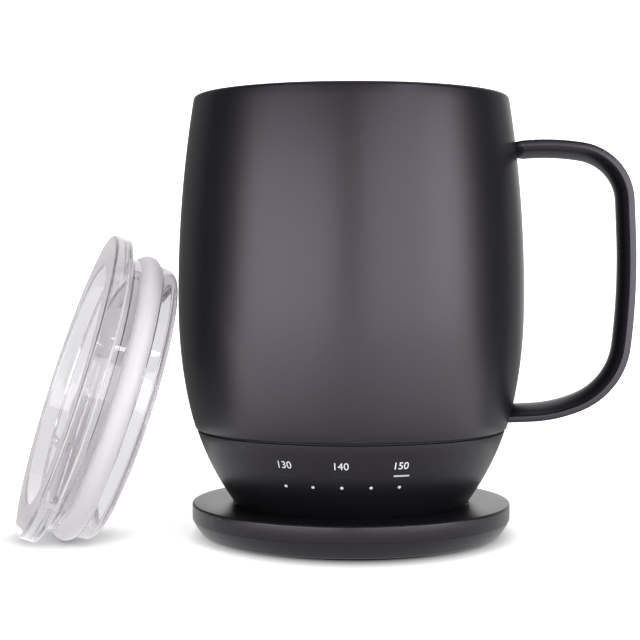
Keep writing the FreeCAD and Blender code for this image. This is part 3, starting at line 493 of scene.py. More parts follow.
def grained(name, colour, roughness, grain, depth, drift=0.10, metal=0.0, gloss=0.5,
            sheen=(1.0, 1.0, 1.0)):
    """A finish whose colour and roughness drift a little, with a fine grain standing up.
    The grain's size and depth are in metres."""
    material = bpy.data.materials.new(name)
    material.use_nodes = True
    tree = material.node_tree
    place = wired(tree, "ShaderNodeTexCoord", {}).outputs["Object"]
    clouds = wired(tree, "ShaderNodeTexNoise",
                   {"Vector": place, "Scale": cloud_scale, "Detail": 4.0})
    tint = wired(tree, "ShaderNodeValToRGB", {"Fac": clouds.outputs["Fac"]})
    for stop, position, share in zip(tint.color_ramp.elements, noise_span, (1 - drift, 1 + drift)):
        stop.position = position
        stop.color = (*[part * share for part in colour], 1)
    speckle = wired(tree, "ShaderNodeTexNoise",
                    {"Vector": place, "Scale": 1.0 / grain, "Detail": 3.0}).outputs["Fac"]
    polish = wired(tree, "ShaderNodeMapRange", {
        "Value": speckle, "From Min": noise_span[0], "From Max": noise_span[1],
        "To Min": roughness * (1 - roughness_drift), "To Max": roughness * (1 + roughness_drift)})
    relief = wired(tree, "ShaderNodeBump", {"Distance": depth, "Height": speckle})
    fed(tree.nodes["Principled BSDF"], {
        "Base Color": tint.outputs["Color"], "Roughness": polish.outputs["Result"],
        "Normal": relief.outputs["Normal"], "Metallic": metal, "Specular IOR Level": gloss,
        "Specular Tint": (*sheen, 1)})
    return material


coat = grained("satin_black_coat", coat_colour, coat_roughness, coat_grain, coat_relief,
               sheen=coat_sheen)
outline = bmesh.new()
start = outline.verts.new((wall_radius(seam_top), 0, seam_top))
top_angle = math.asin((rim_level - rim_round - belly_level) / upper_sweep)
shoulder = rim_level - rim_round * (1 - math.sin(top_angle))
vert = along_wall(outline, start, seam_top, shoulder)
turn_in = vert.co - rim_round * Vector((math.cos(top_angle), 0, math.sin(top_angle)))
vert = swing(outline, vert, (turn_in.x, turn_in.z), math.pi / 2 - top_angle, steps=6)
inside_top = rim_level - lip_drop
vert = straight(outline, vert, (lip_radius, rim_level), (lip_radius, inside_top),
                (wall_radius(inside_top, shell_wall), inside_top))
vert = along_wall(outline, vert, inside_top, seam_top, shell_wall)
outline.edges.new((vert, start))
softened(outline, start, seam_edge)
lathe(outline)
made(outline, "shell_skin", "mug", "coat", coat, "mug_shell")

# Inner cup: drawn from steel, coated like the outside, and hung from the rim. It widens
# below an upright mouth and ends in a rounded floor.
mouth_radius = 38.0 * mm
mouth_depth = 15.0 * mm
mouth_round = 0.8 * mm
shoulder_drop = 15.0 * mm
shoulder_bend = 5.0 * mm
cup_inset = 3.1 * mm
cup_wall = 0.9 * mm
cup_floor = 36.7 * mm
cup_corner = 10.0 * mm
cup_coat = grained("dark_cup_coat", (0.0165, 0.0158, 0.0172), 0.42, coat_grain, coat_relief)
mouth_low = rim_level - mouth_depth
cup_top = mouth_low - shoulder_drop
cup_outset = cup_inset - cup_wall


def cup_side(bm, vert, inset, floor, corner):
    """The cup's floor, rounded corner and belly, from the axis up."""
    side = wall_radius(floor + corner, inset)
    vert = straight(bm, vert, (side - corner, floor))
    vert = swing(bm, vert, (side - corner, floor + corner), math.pi / 2, steps=10)
    return along_wall(bm, vert, floor + corner, cup_top, inset)


outline = bmesh.new()
vert = cup_side(outline, outline.verts.new((0, 0, cup_floor)), cup_inset, cup_floor, cup_corner)
bend_low = vert
bend_high = straight(outline, vert, (mouth_radius, mouth_low))
corner = straight(outline, bend_high, (mouth_radius, rim_level))
lip = straight(outline, corner, (lip_radius, rim_level))
cup_under = cup_floor - cup_wall
vert = cup_side(outline, outline.verts.new((0, 0, cup_under)), cup_outset, cup_under,
                cup_corner + cup_wall)
vert = straight(outline, vert, (lip_radius, mouth_low))
outline.edges.new((vert, lip))
softened(outline, bend_low, shoulder_bend, steps=8)
softened(outline, bend_high, shoulder_bend, steps=8)
softened(outline, corner, mouth_round, steps=6)
lathe(outline)
made(outline, "cup_inside", "mug", "inner_coat", cup_coat, "mug_liner")

# Handle: one slim bar of cast metal, coated with the mug. Its outside is flat, its inside
# is rounded for the fingers, and both ends are welded on; the upper end tapers a little there.
handle_half_width = 6.0 * mm
handle_side = 1.5 * mm
handle_depth = 4.5 * mm
side_lean = math.radians(8.0)
outer_edge_round = 0.35 * mm
inner_edge_round = 0.1 * mm
weld_taper = 0.84
weld_length = 1.5 * mm
weld_sink = 0.45 * mm
least_run = 0.2 * mm
bend_step = 1.6 * mm
handle_legs = (
    (33.0 * mm, 101.18 * mm, 0.0),
    (51.9 * mm, 102.78 * mm, 7.44 * mm),
    (72.0 * mm, 99.55 * mm, 12.73 * mm),
    (73.5 * mm, 64.14 * mm, 14.18 * mm),
    (70.45 * mm, 37.75 * mm, 11.78 * mm),
    (53.43 * mm, 30.5 * mm, 6.5 * mm),
    (33.0 * mm, 29.4 * mm, 0.0),
)


def leg_way(first, last):
    """The unit way from one corner of the handle's line to the next."""
    return (line_point(last) - line_point(first)).normalized()


def corners_of(edges):
    """The vertices that a ring of edges joins."""
    return list({vert for edge in edges for vert in edge.verts})


def middle_of(corners):
    """The point midway between vertices."""
    return sum((vert.co for vert in corners), Vector()) / len(corners)


def line_point(leg):
    """A corner of the handle's line as a place in space."""
    return Vector((leg[0], 0, leg[1]))


bm = bmesh.new()
first_leg = handle_legs[0]
second_leg = handle_legs[1]
way = leg_way(first_leg, second_leg)
belly_rise = handle_depth - handle_side
belly_curve = (handle_half_width ** 2 + belly_rise ** 2) / (2 * belly_rise)
belly_angle = math.asin(handle_half_width / belly_curve)
outer_half_width = handle_half_width - handle_side * math.tan(side_lean)
outer_near = bm.verts.new((0, -outer_half_width, 0))
inner_near = bm.verts.new((0, -handle_half_width, -handle_side))
bm.edges.new((outer_near, inner_near))
inner_far = verts_of(swung(bm, [inner_near], (0, 0, belly_curve - handle_depth), (1, 0, 0),
                           2 * belly_angle, steps=14))[0]
outer_far = bm.verts.new((0, outer_half_width, 0))
bm.edges.new((inner_far, outer_far))
bm.edges.new((outer_far, outer_near))
for vert in (outer_near, outer_far):
    softened(bm, vert, outer_edge_round, steps=4)
for vert in (inner_near, inner_far):
    softened(bm, vert, inner_edge_round, steps=4)
tilt = math.asin(way.z)
bmesh.ops.rotate(bm, verts=bm.verts[:], cent=(0, 0, 0), matrix=Matrix.Rotation(-tilt, 3, "Y"))
start_run = (line_point(second_leg) - line_point(first_leg)).length - second_leg[2]
at = line_point(first_leg) + way * start_run
bmesh.ops.translate(bm, verts=bm.verts[:], vec=at)
ring = bm.edges[:]
top_end = list(ring)
for before, corner, after in zip(handle_legs, handle_legs[1:], handle_legs[2:]):
    way_in = leg_way(before, corner)
    way_out = leg_way(corner, after)
    turn = way_in.angle(way_out)
    radius = corner[2] / math.tan(turn / 2)
    bend_start = line_point(corner) - way_in * corner[2]
    if (bend_start - at).length > tiny:
        ring = pulled(bm, ring, bend_start - at)
    inward = Vector((way_in.z, 0, -way_in.x))
    steps = max(3, round(turn * radius / bend_step))
    ring = edges_of(swung(bm, ring, bend_start + inward * radius, (0, 1, 0), turn, steps))
    at = line_point(corner) + way_out * corner[2]


def welded(ring, way, taper):
    """Brings an end of the handle to the mug's wall and tapers it there."""
    middle = middle_of(corners_of(ring))
    gap = middle.x - wall_radius(middle.z) - weld_length
    if gap > least_run:
        ring = pulled(bm, ring, way * gap / abs(way.x))
    ring = pulled(bm, ring, way * weld_length)
    corners = corners_of(ring)
    middle = middle_of(corners)
    for vert in corners:
        vert.co = middle + (vert.co - middle) * taper
        reach = wall_radius(vert.co.z) - weld_sink
        vert.co.x = math.sqrt(reach ** 2 - vert.co.y ** 2)
    bmesh.ops.edgeloop_fill(bm, edges=ring)


welded(top_end, -way, weld_taper)
welded(ring, leg_way(handle_legs[-2], handle_legs[-1]), 1.0)
# The handle's coat is a darker copy of the mug's coat: painted shade that keeps the handle darker
# than the wall.
handle_shaded_coat = grained("handle_shaded_coat", (0.0030, 0.0028, 0.0034), 0.28, coat_grain, coat_relief,
                      gloss=0.66, sheen=coat_sheen)
made(bm, "handle_loop", "mug", "coat", handle_shaded_coat, "handle", crease=28.0)

# Seam ring: a thin band of black silicone that seals the joint under the shell and lies
# a little below the surface.
ring_depth = 1.2 * mm
ring_setback = 0.4 * mm
ring_round = 0.2 * mm
silicone = grained("black_silicone", (0.0055, 0.0053, 0.0056), 0.62, 0.25 * mm, 0.004 * mm,
                   gloss=0.3)
ring_low, ring_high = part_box("seam_ring")
ring_radius = ring_high.x - ring_setback
outline = bmesh.new()
start = outline.verts.new((ring_radius - ring_depth, 0, ring_low.z))
low_edge = straight(outline, start, (ring_radius, ring_low.z))
high_edge = straight(outline, low_edge, (ring_radius, ring_high.z))
vert = straight(outline, high_edge, (ring_radius - ring_depth, ring_high.z))
outline.edges.new((vert, start))
softened(outline, low_edge, ring_round)
softened(outline, high_edge, ring_round)
lathe(outline)
made(outline, "seam_band", "mug", "black_silicone", silicone, "seam_ring")

# Base of the mug: a moulded shell with a soft black coat that carries on the mug's wall,
# set back a hair. Its upright collar slips into the shell above.
base_low, base_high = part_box("base_housing")
cover_level = base_low.z
skirt_drop = 0.28 * mm
skirt_level = cover_level - skirt_drop
base_top = ring_low.z
base_setback = 0.2 * mm
base_wall = 2.2 * mm
collar_radius = 38.2 * mm
collar_wall = 1.8 * mm
cover_hole = 28.6 * mm
skirt_width = 0.5 * mm
base_low_round = 0.15 * mm
base_top_round = 0.25 * mm
base_coat = grained("base_coat", (0.0045, 0.0041, 0.0049), 0.36, 0.30 * mm, 0.004 * mm, gloss=0.42,
                    sheen=coat_sheen)
outline = bmesh.new()
start = outline.verts.new((cover_hole, 0, cover_level))
low_edge = straight(outline, start, (cover_hole + skirt_width, cover_level),
                    (cover_hole + skirt_width, skirt_level),
                    (wall_radius(skirt_level, base_setback), skirt_level))
top_edge = along_wall(outline, low_edge, skirt_level, base_top, base_setback)
inside_top = base_top - base_wall
inset = base_setback + base_wall
vert = straight(outline, top_edge, (collar_radius, base_top), (collar_radius, base_high.z),
                (collar_radius - collar_wall, base_high.z),
                (wall_radius(inside_top, inset), inside_top))
vert = along_wall(outline, vert, inside_top, cover_level + base_wall, inset)
vert = straight(outline, vert, (cover_hole, cover_level + base_wall))
outline.edges.new((vert, start))
softened(outline, low_edge, base_low_round, steps=4)
softened(outline, top_edge, base_top_round)
lathe(outline)
made(outline, "base_wall", "mug", "base_coat", base_coat, "base_housing")

# Lights on the front: five round light guides in a row, a flat one under the third mark
# that is lit, two like it that are dark, and plain numbers that light shines through.
lights_angle = -89.7
dot_step = 11.35
dot_level = 16.85 * mm
dot_radius = 0.41 * mm
dot_crown = 0.07 * mm
bar_level = 19.8 * mm
bar_width = 4.1 * mm
bar_rise = 0.44 * mm
bar_end_share = 0.45
bar_cuts = 8
guide_length = 1.5 * mm
guide_stand = 0.01 * mm
mark_level = 22.3 * mm
mark_height = 2.0 * mm
mark_relief = 0.03 * mm
letter_share = 0.73
light_colour = (0.93, 0.95, 1.0)


def lit(name, colour, strength):
    """Milky plastic with light behind it, a little uneven."""
    material = grained(name, colour, 0.35, 0.4 * mm, 0.001 * mm, drift=0.03)
    fed(material.node_tree.nodes["Principled BSDF"],
        {"Emission Color": (*light_colour, 1), "Emission Strength": strength})
    return material


def onto_front(bm, angle, level):
    """Bends a flat shape (x across, y up, z outwards) onto the base's wall."""
    for vert in bm.verts:
        across, up, out = vert.co
        slope = math.asin((wall_arcs()[0][0].y - level) / lower_sweep)
        height = level + up * math.cos(slope) - out * math.sin(slope)
        reach = wall_radius(level + up * math.cos(slope), base_setback) + out * math.cos(slope)
        turn = math.radians(angle) + across / reach
        vert.co = (reach * math.cos(turn), reach * math.sin(turn), height)


def poured(source, target):
    """Adds a finished shape to another one."""
    mesh = bpy.data.meshes.new("poured")
    source.to_mesh(mesh)
    source.free()
    target.from_mesh(mesh)
    bpy.data.meshes.remove(mesh)


def worked_out(holder):
    """The mesh that an object's curves or modifiers come to."""
    bpy.context.view_layer.update()
    graph = bpy.context.evaluated_depsgraph_get()
    return bpy.data.meshes.new_from_object(holder.evaluated_get(graph))


dot_light = lit("lit_dot", (0.4, 0.4, 0.42), 0.24)
bar_light = lit("lit_bar", (0.36, 0.36, 0.38), 0.16)
dark_guide = grained("unlit_guide", (0.0075, 0.0070, 0.0082), 0.36, 0.3 * mm, 0.002 * mm,
                     gloss=0.45)
dot_angles = [lights_angle + step * dot_step for step in (-2, -1, 0, 1, 2)]
bm = bmesh.new()
for angle in dot_angles:
    guide = bmesh.new()
    vert = straight(guide, guide.verts.new((0, 0, -guide_length)), (dot_radius, -guide_length),
                    (dot_radius, 0))
    crown = (dot_radius ** 2 + dot_crown ** 2) / (2 * dot_crown)
    swing(guide, vert, (0, dot_crown - crown), math.asin(dot_radius / crown), steps=5)
    lathe(guide, steps=32)
    onto_front(guide, angle, dot_level)
    poured(guide, bm)
made(bm, "lit_dots", "mug", "light_on", dot_light, "dot_lenses")


def bar_guide(bm, angle):
    """One flat light guide with rounded ends, bent to the wall."""
    corners = bmesh.ops.create_cube(bm, size=1.0)["verts"]
    bmesh.ops.scale(bm, verts=corners, vec=(bar_width, bar_rise, guide_length))
    bmesh.ops.translate(bm, verts=corners, vec=(0, 0, guide_stand - guide_length / 2))
    upright = [edge for edge in bm.edges
               if abs(edge.verts[0].co.z - edge.verts[1].co.z) > guide_length / 2]
    bmesh.ops.bevel(bm, geom=upright, offset=bar_rise * bar_end_share, offset_type="OFFSET",
                    segments=4, profile=0.5, affect="EDGES", material=-1)
    for step in range(1 - bar_cuts // 2, bar_cuts // 2):
        bmesh.ops.bisect_plane(bm, geom=bm.verts[:] + bm.edges[:] + bm.faces[:],
                               plane_co=(step * bar_width / bar_cuts, 0, 0), plane_no=(1, 0, 0))
    onto_front(bm, angle, bar_level)


bm = bmesh.new()
bar_guide(bm, dot_angles[-1])
made(bm, "lit_bar", "mug", "light_on", bar_light, "bar_lens_lit")
dark_bars = bmesh.new()
for angle in dot_angles[:-1:2]:
    bm = bmesh.new()
    bar_guide(bm, angle)
    poured(bm, dark_bars)
made(dark_bars, "dark_bars", "mug", "light_off", dark_guide, "bar_lenses_dark")

marks = (("130", -111.2, 0.20), ("140", -89.9, 0.22), ("150", -67.9, 0.32))
for text, angle, strength in marks:
    number = bpy.data.curves.new("mark_" + text, "FONT")
    number.body = text
    number.size = mark_height / letter_share
    number.extrude = mark_relief
    number.align_x = "CENTER"
    number.align_y = "CENTER"
    holder = placed("mark", number)
    mesh = worked_out(holder)
    bpy.data.objects.remove(holder)
    bm = bmesh.new()
    bm.from_mesh(mesh)
    bpy.data.meshes.remove(mesh)
    onto_front(bm, angle, mark_level)
    made(bm, "number_" + text, "mug", "light_on",
         lit("lit_number_" + text, (0.5, 0.5, 0.52), strength))

# Coaster: a moulded tray with an upright band and a round seat for the mug, and under it
# a screwed cover whose edge curves in. Both are satin black plastic.
coaster_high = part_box("coaster_top")[1]
tray_radius = coaster_high.x
tray_top = coaster_high.z
split_level = 4.5 * mm
tray_wall = 1.8 * mm
tray_skin = 1.4 * mm
tray_edge = 0.5 * mm
band_edge = 0.06 * mm
seat_radius = 30.75 * mm
seat_level = 7.8 * mm
seat_edge = 0.05 * mm
parting_gap = 0.02 * mm
cover_foot_radius = 38.7 * mm
cover_foot_level = 0.3 * mm
cover_floor = 1.8 * mm
cover_bulge = 0.2 * mm
cover_foot_round = 0.3 * mm
cover_edge = 0.05 * mm
cover_collar = 1.4 * mm
pad_radius = 36.2 * mm
pad_level = 1.0 * mm
pin_hole_radius = 1.14 * mm
pin_places = (-9.2 * mm, 13.4 * mm)
inlet_low, inlet_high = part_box("coaster_inlet")
inlet_gap = 0.2 * mm
inlet_reach = 8.0 * mm
cut_past = 1.0 * mm
tray_plastic = grained("tray_plastic", (0.0046, 0.0043, 0.0050), 0.29, 0.30 * mm, 0.004 * mm,
                       gloss=0.47, sheen=coat_sheen)


def bowed(bm, vert, end, bulge, steps=8):
    """An arc of an outline to a point, whose middle stands out to the right of the way."""
    here = Vector((vert.co.x, vert.co.z))
    run = Vector(end) - here
    half = run.length / 2
    radius = (half ** 2 + bulge ** 2) / (2 * bulge)
    right = Vector((run.y, -run.x)).normalized()
    centre = (here + Vector(end)) / 2 - right * (radius - bulge)
    return swing(bm, vert, centre, 2 * math.asin(half / radius), steps)


def boolean(piece, bm, operation):
    """Joins a closed shape to a finished piece or takes it away."""
    mesh = bpy.data.meshes.new("cutter")
    bmesh.ops.recalc_face_normals(bm, faces=bm.faces[:])
    bm.to_mesh(mesh)
    bm.free()
    cutter = placed("cutter", mesh)
    opening = piece.modifiers.new("opening", "BOOLEAN")
    opening.operation = operation
    opening.solver = "EXACT"
    opening.object = cutter
    result = worked_out(piece)
    piece.modifiers.remove(opening)
    old = piece.data
    name = old.name
    piece.data = result
    bpy.data.meshes.remove(old)
    result.name = name
    result.shade_smooth()
    result.set_sharp_from_angle(angle=math.radians(crease_angle))
    bpy.data.objects.remove(cutter)
    bpy.data.meshes.remove(mesh)


def rod(bm, radius, low, high, x, steps=32):
    """An upright round bar."""
    place = Matrix.Translation((x, 0, (low + high) / 2))
    bmesh.ops.create_cone(bm, cap_ends=True, segments=steps, radius1=radius, radius2=radius,
                          depth=high - low, matrix=place)


def inlet_opening():
    """The rounded opening through the coaster's back for the power inlet."""
    bm = bmesh.new()
    half_rise = (inlet_high.z - inlet_low.z) / 2 + inlet_gap
    half_width = inlet_high.x + inlet_gap - half_rise
    middle = (inlet_high.z + inlet_low.z) / 2
    start = bm.verts.new((-half_width, inlet_low.y, middle - half_rise))
    end = bm.verts.new((half_width, inlet_low.y, middle - half_rise))
    bm.edges.new((start, end))
    right = swung(bm, [end], (half_width, inlet_low.y, middle), (0, -1, 0), math.pi, steps=12)
    left = swung(bm, [start], (-half_width, inlet_low.y, middle), (0, 1, 0), math.pi, steps=12)
    bm.edges.new((verts_of(right)[0], verts_of(left)[0]))
    face = bmesh.ops.contextual_create(bm, geom=bm.edges[:])["faces"]
    grown = bmesh.ops.extrude_face_region(bm, geom=face)["geom"]
    bmesh.ops.translate(bm, verts=verts_of(grown), vec=(0, inlet_reach, 0))
    return bm


outline = bmesh.new()
seat_under = seat_level - tray_skin
start = outline.verts.new((0, 0, seat_under))
vert = straight(outline, start, (seat_radius + tray_skin, seat_under),
                (seat_radius + tray_skin, tray_top - tray_skin),
                (tray_radius - tray_wall, tray_top - tray_skin),
                (tray_radius - tray_wall, split_level))
band_low = straight(outline, vert, (tray_radius, split_level))
band_high = straight(outline, band_low, (tray_radius, tray_top))
seat_rim = straight(outline, band_high, (seat_radius, tray_top))
straight(outline, seat_rim, (seat_radius, seat_level), (0, seat_level))
softened(outline, band_low, band_edge)
softened(outline, band_high, tray_edge, steps=5)
softened(outline, seat_rim, seat_edge)
lathe(outline)
tray = made(outline, "coaster_tray", "coaster", "coaster_plastic", tray_plastic, "coaster_top")
holes = bmesh.new()
for x in pin_places:
    rod(holes, pin_hole_radius, seat_under - cut_past, seat_level + cut_past, x)
boolean(tray, holes, "DIFFERENCE")
boolean(tray, inlet_opening(), "DIFFERENCE")

outline = bmesh.new()
cover_radius = tray_radius - parting_gap
cover_top = split_level - parting_gap
collar_outer = tray_radius - tray_wall - parting_gap
start = outline.verts.new((0, 0, pad_level))
vert = straight(outline, start, (pad_radius, pad_level), (pad_radius, cover_foot_level))
foot_edge = straight(outline, vert, (cover_foot_radius, cover_foot_level))
top_edge = bowed(outline, foot_edge, (cover_radius, cover_top), cover_bulge)
straight(outline, top_edge, (collar_outer, cover_top), (collar_outer, cover_top + cover_collar),
         (collar_outer - cover_collar, cover_top + cover_collar),
         (collar_outer - cover_collar, cover_floor), (0, cover_floor))
softened(outline, foot_edge, cover_foot_round)
softened(outline, top_edge, cover_edge)
lathe(outline)
under = made(outline, "coaster_cover", "coaster", "coaster_plastic", tray_plastic,
             "coaster_bottom")
boolean(under, inlet_opening(), "DIFFERENCE")

# Lid: one clear moulding with a flat flange, a neck with a groove for the gasket and a
# hollow plug. It stands on its edge beside the mug and leans to it, top face outwards.
lid_origin = (-72.5687 * mm, -15.1008 * mm, 39.7540 * mm)
lid_lean = math.radians(18.2416)
lid_turn = math.radians(18.6)
flange_radius = 40.5 * mm
flange_thickness = 4.7 * mm
bead_radius = 38.6 * mm
bead_width = 0.8 * mm
bead_drop = 0.35 * mm
neck_radius = 36.0 * mm
groove_radius = 35.0 * mm
groove_top = -8.2 * mm
groove_low = -13.6 * mm
plug_radius = 36.4 * mm
plug_foot_radius = 36.1 * mm
plug_foot = -18.4 * mm
plug_foot_round = 2.4 * mm
hollow_radius = 33.0 * mm
pool_radius = 31.5 * mm
pool_depth = 7.0 * mm
pool_floor = 2.2 * mm
inner_round = 0.8 * mm
small_round = 0.3 * mm
rail_start = -29.0 * mm
rail_length = 39.0 * mm
rail_side = 6.7 * mm
rail_width = 1.4 * mm
rail_rise = 2.6 * mm
lip_width = 1.1 * mm
lip_rise = 0.9 * mm
rail_sink = 1.0 * mm
spout_x = -25.5 * mm
spout_size = (5.0 * mm, 11.0 * mm)
vent_x = 24.0 * mm
vent_radius = 1.2 * mm
lid_turns = 288
clear_colour = (0.92, 0.903, 0.926)
haze = 0.9
haze_roughness = 0.35
haze_colour = (1.0, 0.96, 0.995)


def see_through(name, colour, roughness, clarity, shade):
    """Clear or milky plastic with a faint haze. Lamps shine through it, so its shadow stays
    light, and the mug's satin wall doesn't mirror it."""
    material = grained(name, colour, roughness, 3.0 * mm, 0.001 * mm, drift=0.01)
    tree = material.node_tree
    surface = fed(tree.nodes["Principled BSDF"], {
        "IOR": 1.49, "Transmission Weight": clarity, "Sheen Weight": haze,
        "Sheen Roughness": haze_roughness, "Sheen Tint": (*haze_colour, 1)})
    path = wired(tree, "ShaderNodeLightPath", {}).outputs
    outside = wired(tree, "ShaderNodeMath", {0: path["Transmission Depth"], 1: 0.5},
                    operation="LESS_THAN")
    mirrored = wired(tree, "ShaderNodeMath", {0: path["Is Glossy Ray"], 1: outside.outputs[0]},
                     operation="MULTIPLY")
    for way, level in ((mirrored.outputs[0], 1.0), (path["Is Shadow Ray"], shade)):
        open_way = wired(tree, "ShaderNodeBsdfTransparent", {"Color": (level, level, level, 1)})
        surface = wired(tree, "ShaderNodeMixShader",
                        {0: way, 1: surface.outputs[0], 2: open_way.outputs[0]})
    fed(tree.nodes["Material Output"], {"Surface": surface.outputs[0]})
    return material


def laid(bm):
    """Moves a shape from the lid's own frame (x up the lid, z out of its top) to its place."""
    rise = Vector((math.sin(lid_lean) * math.cos(lid_turn), math.sin(lid_lean) * math.sin(lid_turn),
                   math.cos(lid_lean)))
    out = Vector((-math.cos(lid_lean) * math.cos(lid_turn), -math.cos(lid_lean) * math.sin(lid_turn),
                  math.sin(lid_lean)))
    axes = Matrix((rise, out.cross(rise), out)).transposed().to_4x4()
    bmesh.ops.transform(bm, matrix=Matrix.Translation(lid_origin) @ axes, verts=bm.verts[:])


def brick(bm, size, centre, edge=0.0):
    """A block, with rounded edges where an edge radius is given."""
    verts = bmesh.ops.create_cube(bm, size=1.0)["verts"]
    bmesh.ops.scale(bm, verts=verts, vec=size)
    bmesh.ops.translate(bm, verts=verts, vec=centre)
    if edge:
        edges = list({side for vert in verts for side in vert.link_edges})
        bmesh.ops.bevel(bm, geom=edges, offset=edge, offset_type="OFFSET", segments=3,
                        profile=0.5, affect="EDGES", material=-1)


clear = see_through("clear_plastic", clear_colour, 0.04, 1.0, 0.60)
outline = bmesh.new()
pool_low = outline.verts.new((0, 0, -pool_depth))
pool_low = straight(outline, pool_low, (pool_radius, -pool_depth))
pool_top = straight(outline, pool_low, (pool_radius, 0))
flange_top = straight(outline, pool_top, (flange_radius, 0))
flange_low = straight(outline, flange_top, (flange_radius, -flange_thickness))
vert = straight(outline, flange_low, (bead_radius + bead_width / 2, -flange_thickness),
                (bead_radius + bead_width / 2, -flange_thickness + bead_drop),
                (bead_radius - bead_width / 2, -flange_thickness + bead_drop),
                (bead_radius - bead_width / 2, -flange_thickness))
neck_top = straight(outline, vert, (neck_radius, -flange_thickness))
neck_low = straight(outline, neck_top, (neck_radius, groove_top))
vert = straight(outline, neck_low, (groove_radius, groove_top), (groove_radius, groove_low))
plug_top = straight(outline, vert, (plug_radius, groove_low))
plug_edge = straight(outline, plug_top, (plug_foot_radius, plug_foot))
hollow_low = straight(outline, plug_edge, (hollow_radius, plug_foot))
hollow_top = straight(outline, hollow_low, (hollow_radius, -pool_depth - pool_floor))
straight(outline, hollow_top, (0, -pool_depth - pool_floor))
for corner in (pool_low, pool_top, flange_top, flange_low, hollow_top):
    softened(outline, corner, inner_round, steps=5)
for corner in (neck_top, neck_low, plug_top, hollow_low):
    softened(outline, corner, small_round)
softened(outline, plug_edge, plug_foot_round, steps=8)
lathe(outline, lid_turns)
laid(outline)
lid = made(outline, "lid_moulding", "lid", "clear_plastic", clear, "lid_body")
for side in (-1, 1):
    rail = bmesh.new()
    low = -pool_depth - rail_sink
    high = -pool_depth + rail_rise
    middle = rail_start + rail_length / 2
    brick(rail, (rail_length, rail_width, high - low),
          (middle, side * (rail_side + rail_width / 2), (low + high) / 2))
    laid(rail)
    boolean(lid, rail, "UNION")
    lip = bmesh.new()
    reach = lip_width + rail_width / 2
    brick(lip, (rail_length, reach, lip_rise),
          (middle, side * (rail_side - lip_width + reach / 2), high - lip_rise / 2))
    laid(lip)
    boolean(lid, lip, "UNION")
under_floor = -pool_depth - pool_floor - cut_past
holes = bmesh.new()
brick(holes, (*spout_size, pool_floor + 2 * cut_past),
      (spout_x, 0, under_floor + pool_floor / 2 + cut_past))
rod(holes, vent_radius, under_floor, -pool_depth + cut_past, vent_x)
laid(holes)
boolean(lid, holes, "DIFFERENCE")

# Gasket of the lid: a milky silicone ring, stretched into the neck's groove, with a round
# bead that seals in the mug's mouth.
gasket_edge_radius = 36.5 * mm
gasket_bulge = 1.6 * mm
gasket_gap = 0.05 * mm
gasket_round = 0.35 * mm
milky = see_through("milky_silicone", (0.56, 0.545, 0.575), 0.45, 0.12, 0.45)
fed(milky.node_tree.nodes["Principled BSDF"], {
    "Subsurface Weight": 0.7, "Subsurface Radius": (1.0, 1.0, 1.0), "Subsurface Scale": 3.0 * mm})
outline = bmesh.new()
start = outline.verts.new((groove_radius, 0, groove_low + gasket_gap))
low_edge = straight(outline, start, (gasket_edge_radius, groove_low + gasket_gap))
high_edge = bowed(outline, low_edge, (gasket_edge_radius, groove_top - gasket_gap), gasket_bulge,
                  steps=12)
vert = straight(outline, high_edge, (groove_radius, groove_top - gasket_gap))
outline.edges.new((vert, start))
softened(outline, low_edge, gasket_round, steps=4)
softened(outline, high_edge, gasket_round, steps=4)
lathe(outline)
laid(outline)
made(outline, "lid_seal", "lid", "white_silicone", milky, "lid_gasket")

# Slide cover of the lid: a clear plate that runs under the rails' lips, with a cross bar
# for a fingertip.
slide_middle = -14.6 * mm
slide_size = (30.0 * mm, 13.0 * mm, 1.6 * mm)
slide_float = 0.05 * mm
slide_round = 0.35 * mm
bar_size = (2.4 * mm, 10.8 * mm, 3.2 * mm)
bar_sink = 0.4 * mm
bar_round = 0.5 * mm
bm = bmesh.new()
slide_low = -pool_depth + slide_float
brick(bm, slide_size, (slide_middle, 0, slide_low + slide_size[2] / 2), slide_round)
laid(bm)
slide = made(bm, "slide_plate", "slider", "clear_plastic", clear, "lid_slider")
bar = bmesh.new()
bar_rise = bar_size[2] + bar_sink
slide_top = slide_low + slide_size[2]
brick(bar, (bar_size[0], bar_size[1], bar_rise),
      (slide_middle, 0, slide_top - bar_sink + bar_rise / 2), bar_round)
laid(bar)
boolean(slide, bar, "UNION")
for piece in (lid, slide):
    piece.modifiers.new("even_normals", "WEIGHTED_NORMAL").keep_sharp = True

# Hidden and underside parts keep their solids and get finishes of their own: coated
# covers, silicone pads, gilt contacts, steel screws and springs, boards and cells.
track_edge = 0.8


def dressed(material, *names):
    """Gives CAD solids a finish."""
    for name in names:
        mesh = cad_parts[name].data
        mesh.materials.clear()
        mesh.materials.append(material)


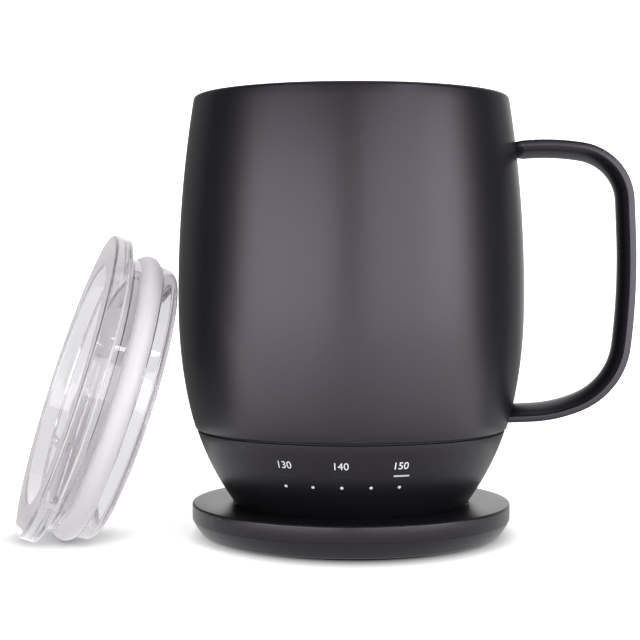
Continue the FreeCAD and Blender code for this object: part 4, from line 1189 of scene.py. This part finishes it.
def patterned(name, ground, line, size, width, roughness):
    """A flat part with fine lines on it, such as a board's tracks under their lacquer."""
    material = grained(name, ground, roughness, 0.4 * mm, 0.002 * mm, drift=0.04)
    tree = material.node_tree
    place = tree.nodes["Texture Coordinate"].outputs["Object"]
    cells = wired(tree, "ShaderNodeTexVoronoi", {"Vector": place, "Scale": 1.0 / size},
                  feature="DISTANCE_TO_EDGE")
    track = wired(tree, "ShaderNodeMapRange", {
        "Value": cells.outputs["Distance"], "From Min": width * track_edge, "From Max": width,
        "To Min": 1.0, "To Max": 0.0})
    ground = tree.nodes["Color Ramp"].outputs["Color"]
    mix = wired(tree, "ShaderNodeMix",
                {"Factor": track.outputs["Result"], "A": ground, "B": (*line, 1)}, data_type="RGBA")
    fed(tree.nodes["Principled BSDF"], {"Base Color": mix.outputs["Result"]})
    return material


dressed(base_coat, "base_cover")
dressed(silicone, "base_seal", "base_foot", "coaster_pad")
# Each finish: its name, colour, roughness, grain and relief in millimetres, drift, metal
# and the solids that have it.
for finish, colour, roughness, grain, relief, drift, metal, names in (
    ("gilt", (0.83, 0.60, 0.28), 0.24, 0.2, 0.002, 0.03, 1.0,
     ("contact_ring_inner", "contact_ring_outer", "pin_barrels", "pin_plunger_inner",
      "pin_plunger_outer")),
    ("bright_steel", (0.55, 0.54, 0.53), 0.30, 0.15, 0.003, 0.04, 1.0,
     ("base_screws", "coaster_screws", "button_spring", "pin_spring_inner", "pin_spring_outer",
      "coaster_inlet", "temperature_sensor")),
    ("button_plastic", (0.020, 0.019, 0.021), 0.30, 0.3, 0.002, 0.10, 0.0, ("button_cap",)),
    ("switch_plastic", (0.012, 0.012, 0.012), 0.45, 0.2, 0.004, 0.10, 0.0,
     ("button_switch", "switch_plunger", "board_components", "coaster_chips")),
    ("cell_wrap", (0.045, 0.19, 0.42), 0.32, 1.2, 0.01, 0.06, 0.0, ("battery_cells",)),
    ("cell_tray", (0.56, 0.55, 0.52), 0.45, 0.3, 0.006, 0.05, 0.0, ("battery_cradle",)),
    ("led_white", (0.78, 0.76, 0.62), 0.35, 0.2, 0.002, 0.03, 0.0, ("leds",)),
    ("grey_foam", (0.30, 0.30, 0.31), 0.85, 0.5, 0.15, 0.15, 0.0, ("insulation_disc",)),
    ("lead_sleeve", (0.33, 0.018, 0.014), 0.42, 0.3, 0.004, 0.08, 0.0, ("heater_leads",)),
):
    dressed(grained(finish, colour, roughness, grain * mm, relief * mm, drift, metal), *names)
board = patterned("green_board", (0.010, 0.085, 0.035), (0.030, 0.16, 0.06), 2.6 * mm, 0.05, 0.28)
dressed(board, "main_board", "coaster_board", "light_board")
film = patterned("amber_film", (0.50, 0.20, 0.030), (0.10, 0.045, 0.015), 3.0 * mm, 0.10, 0.25)
dressed(film, "heater_film")

low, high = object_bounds()
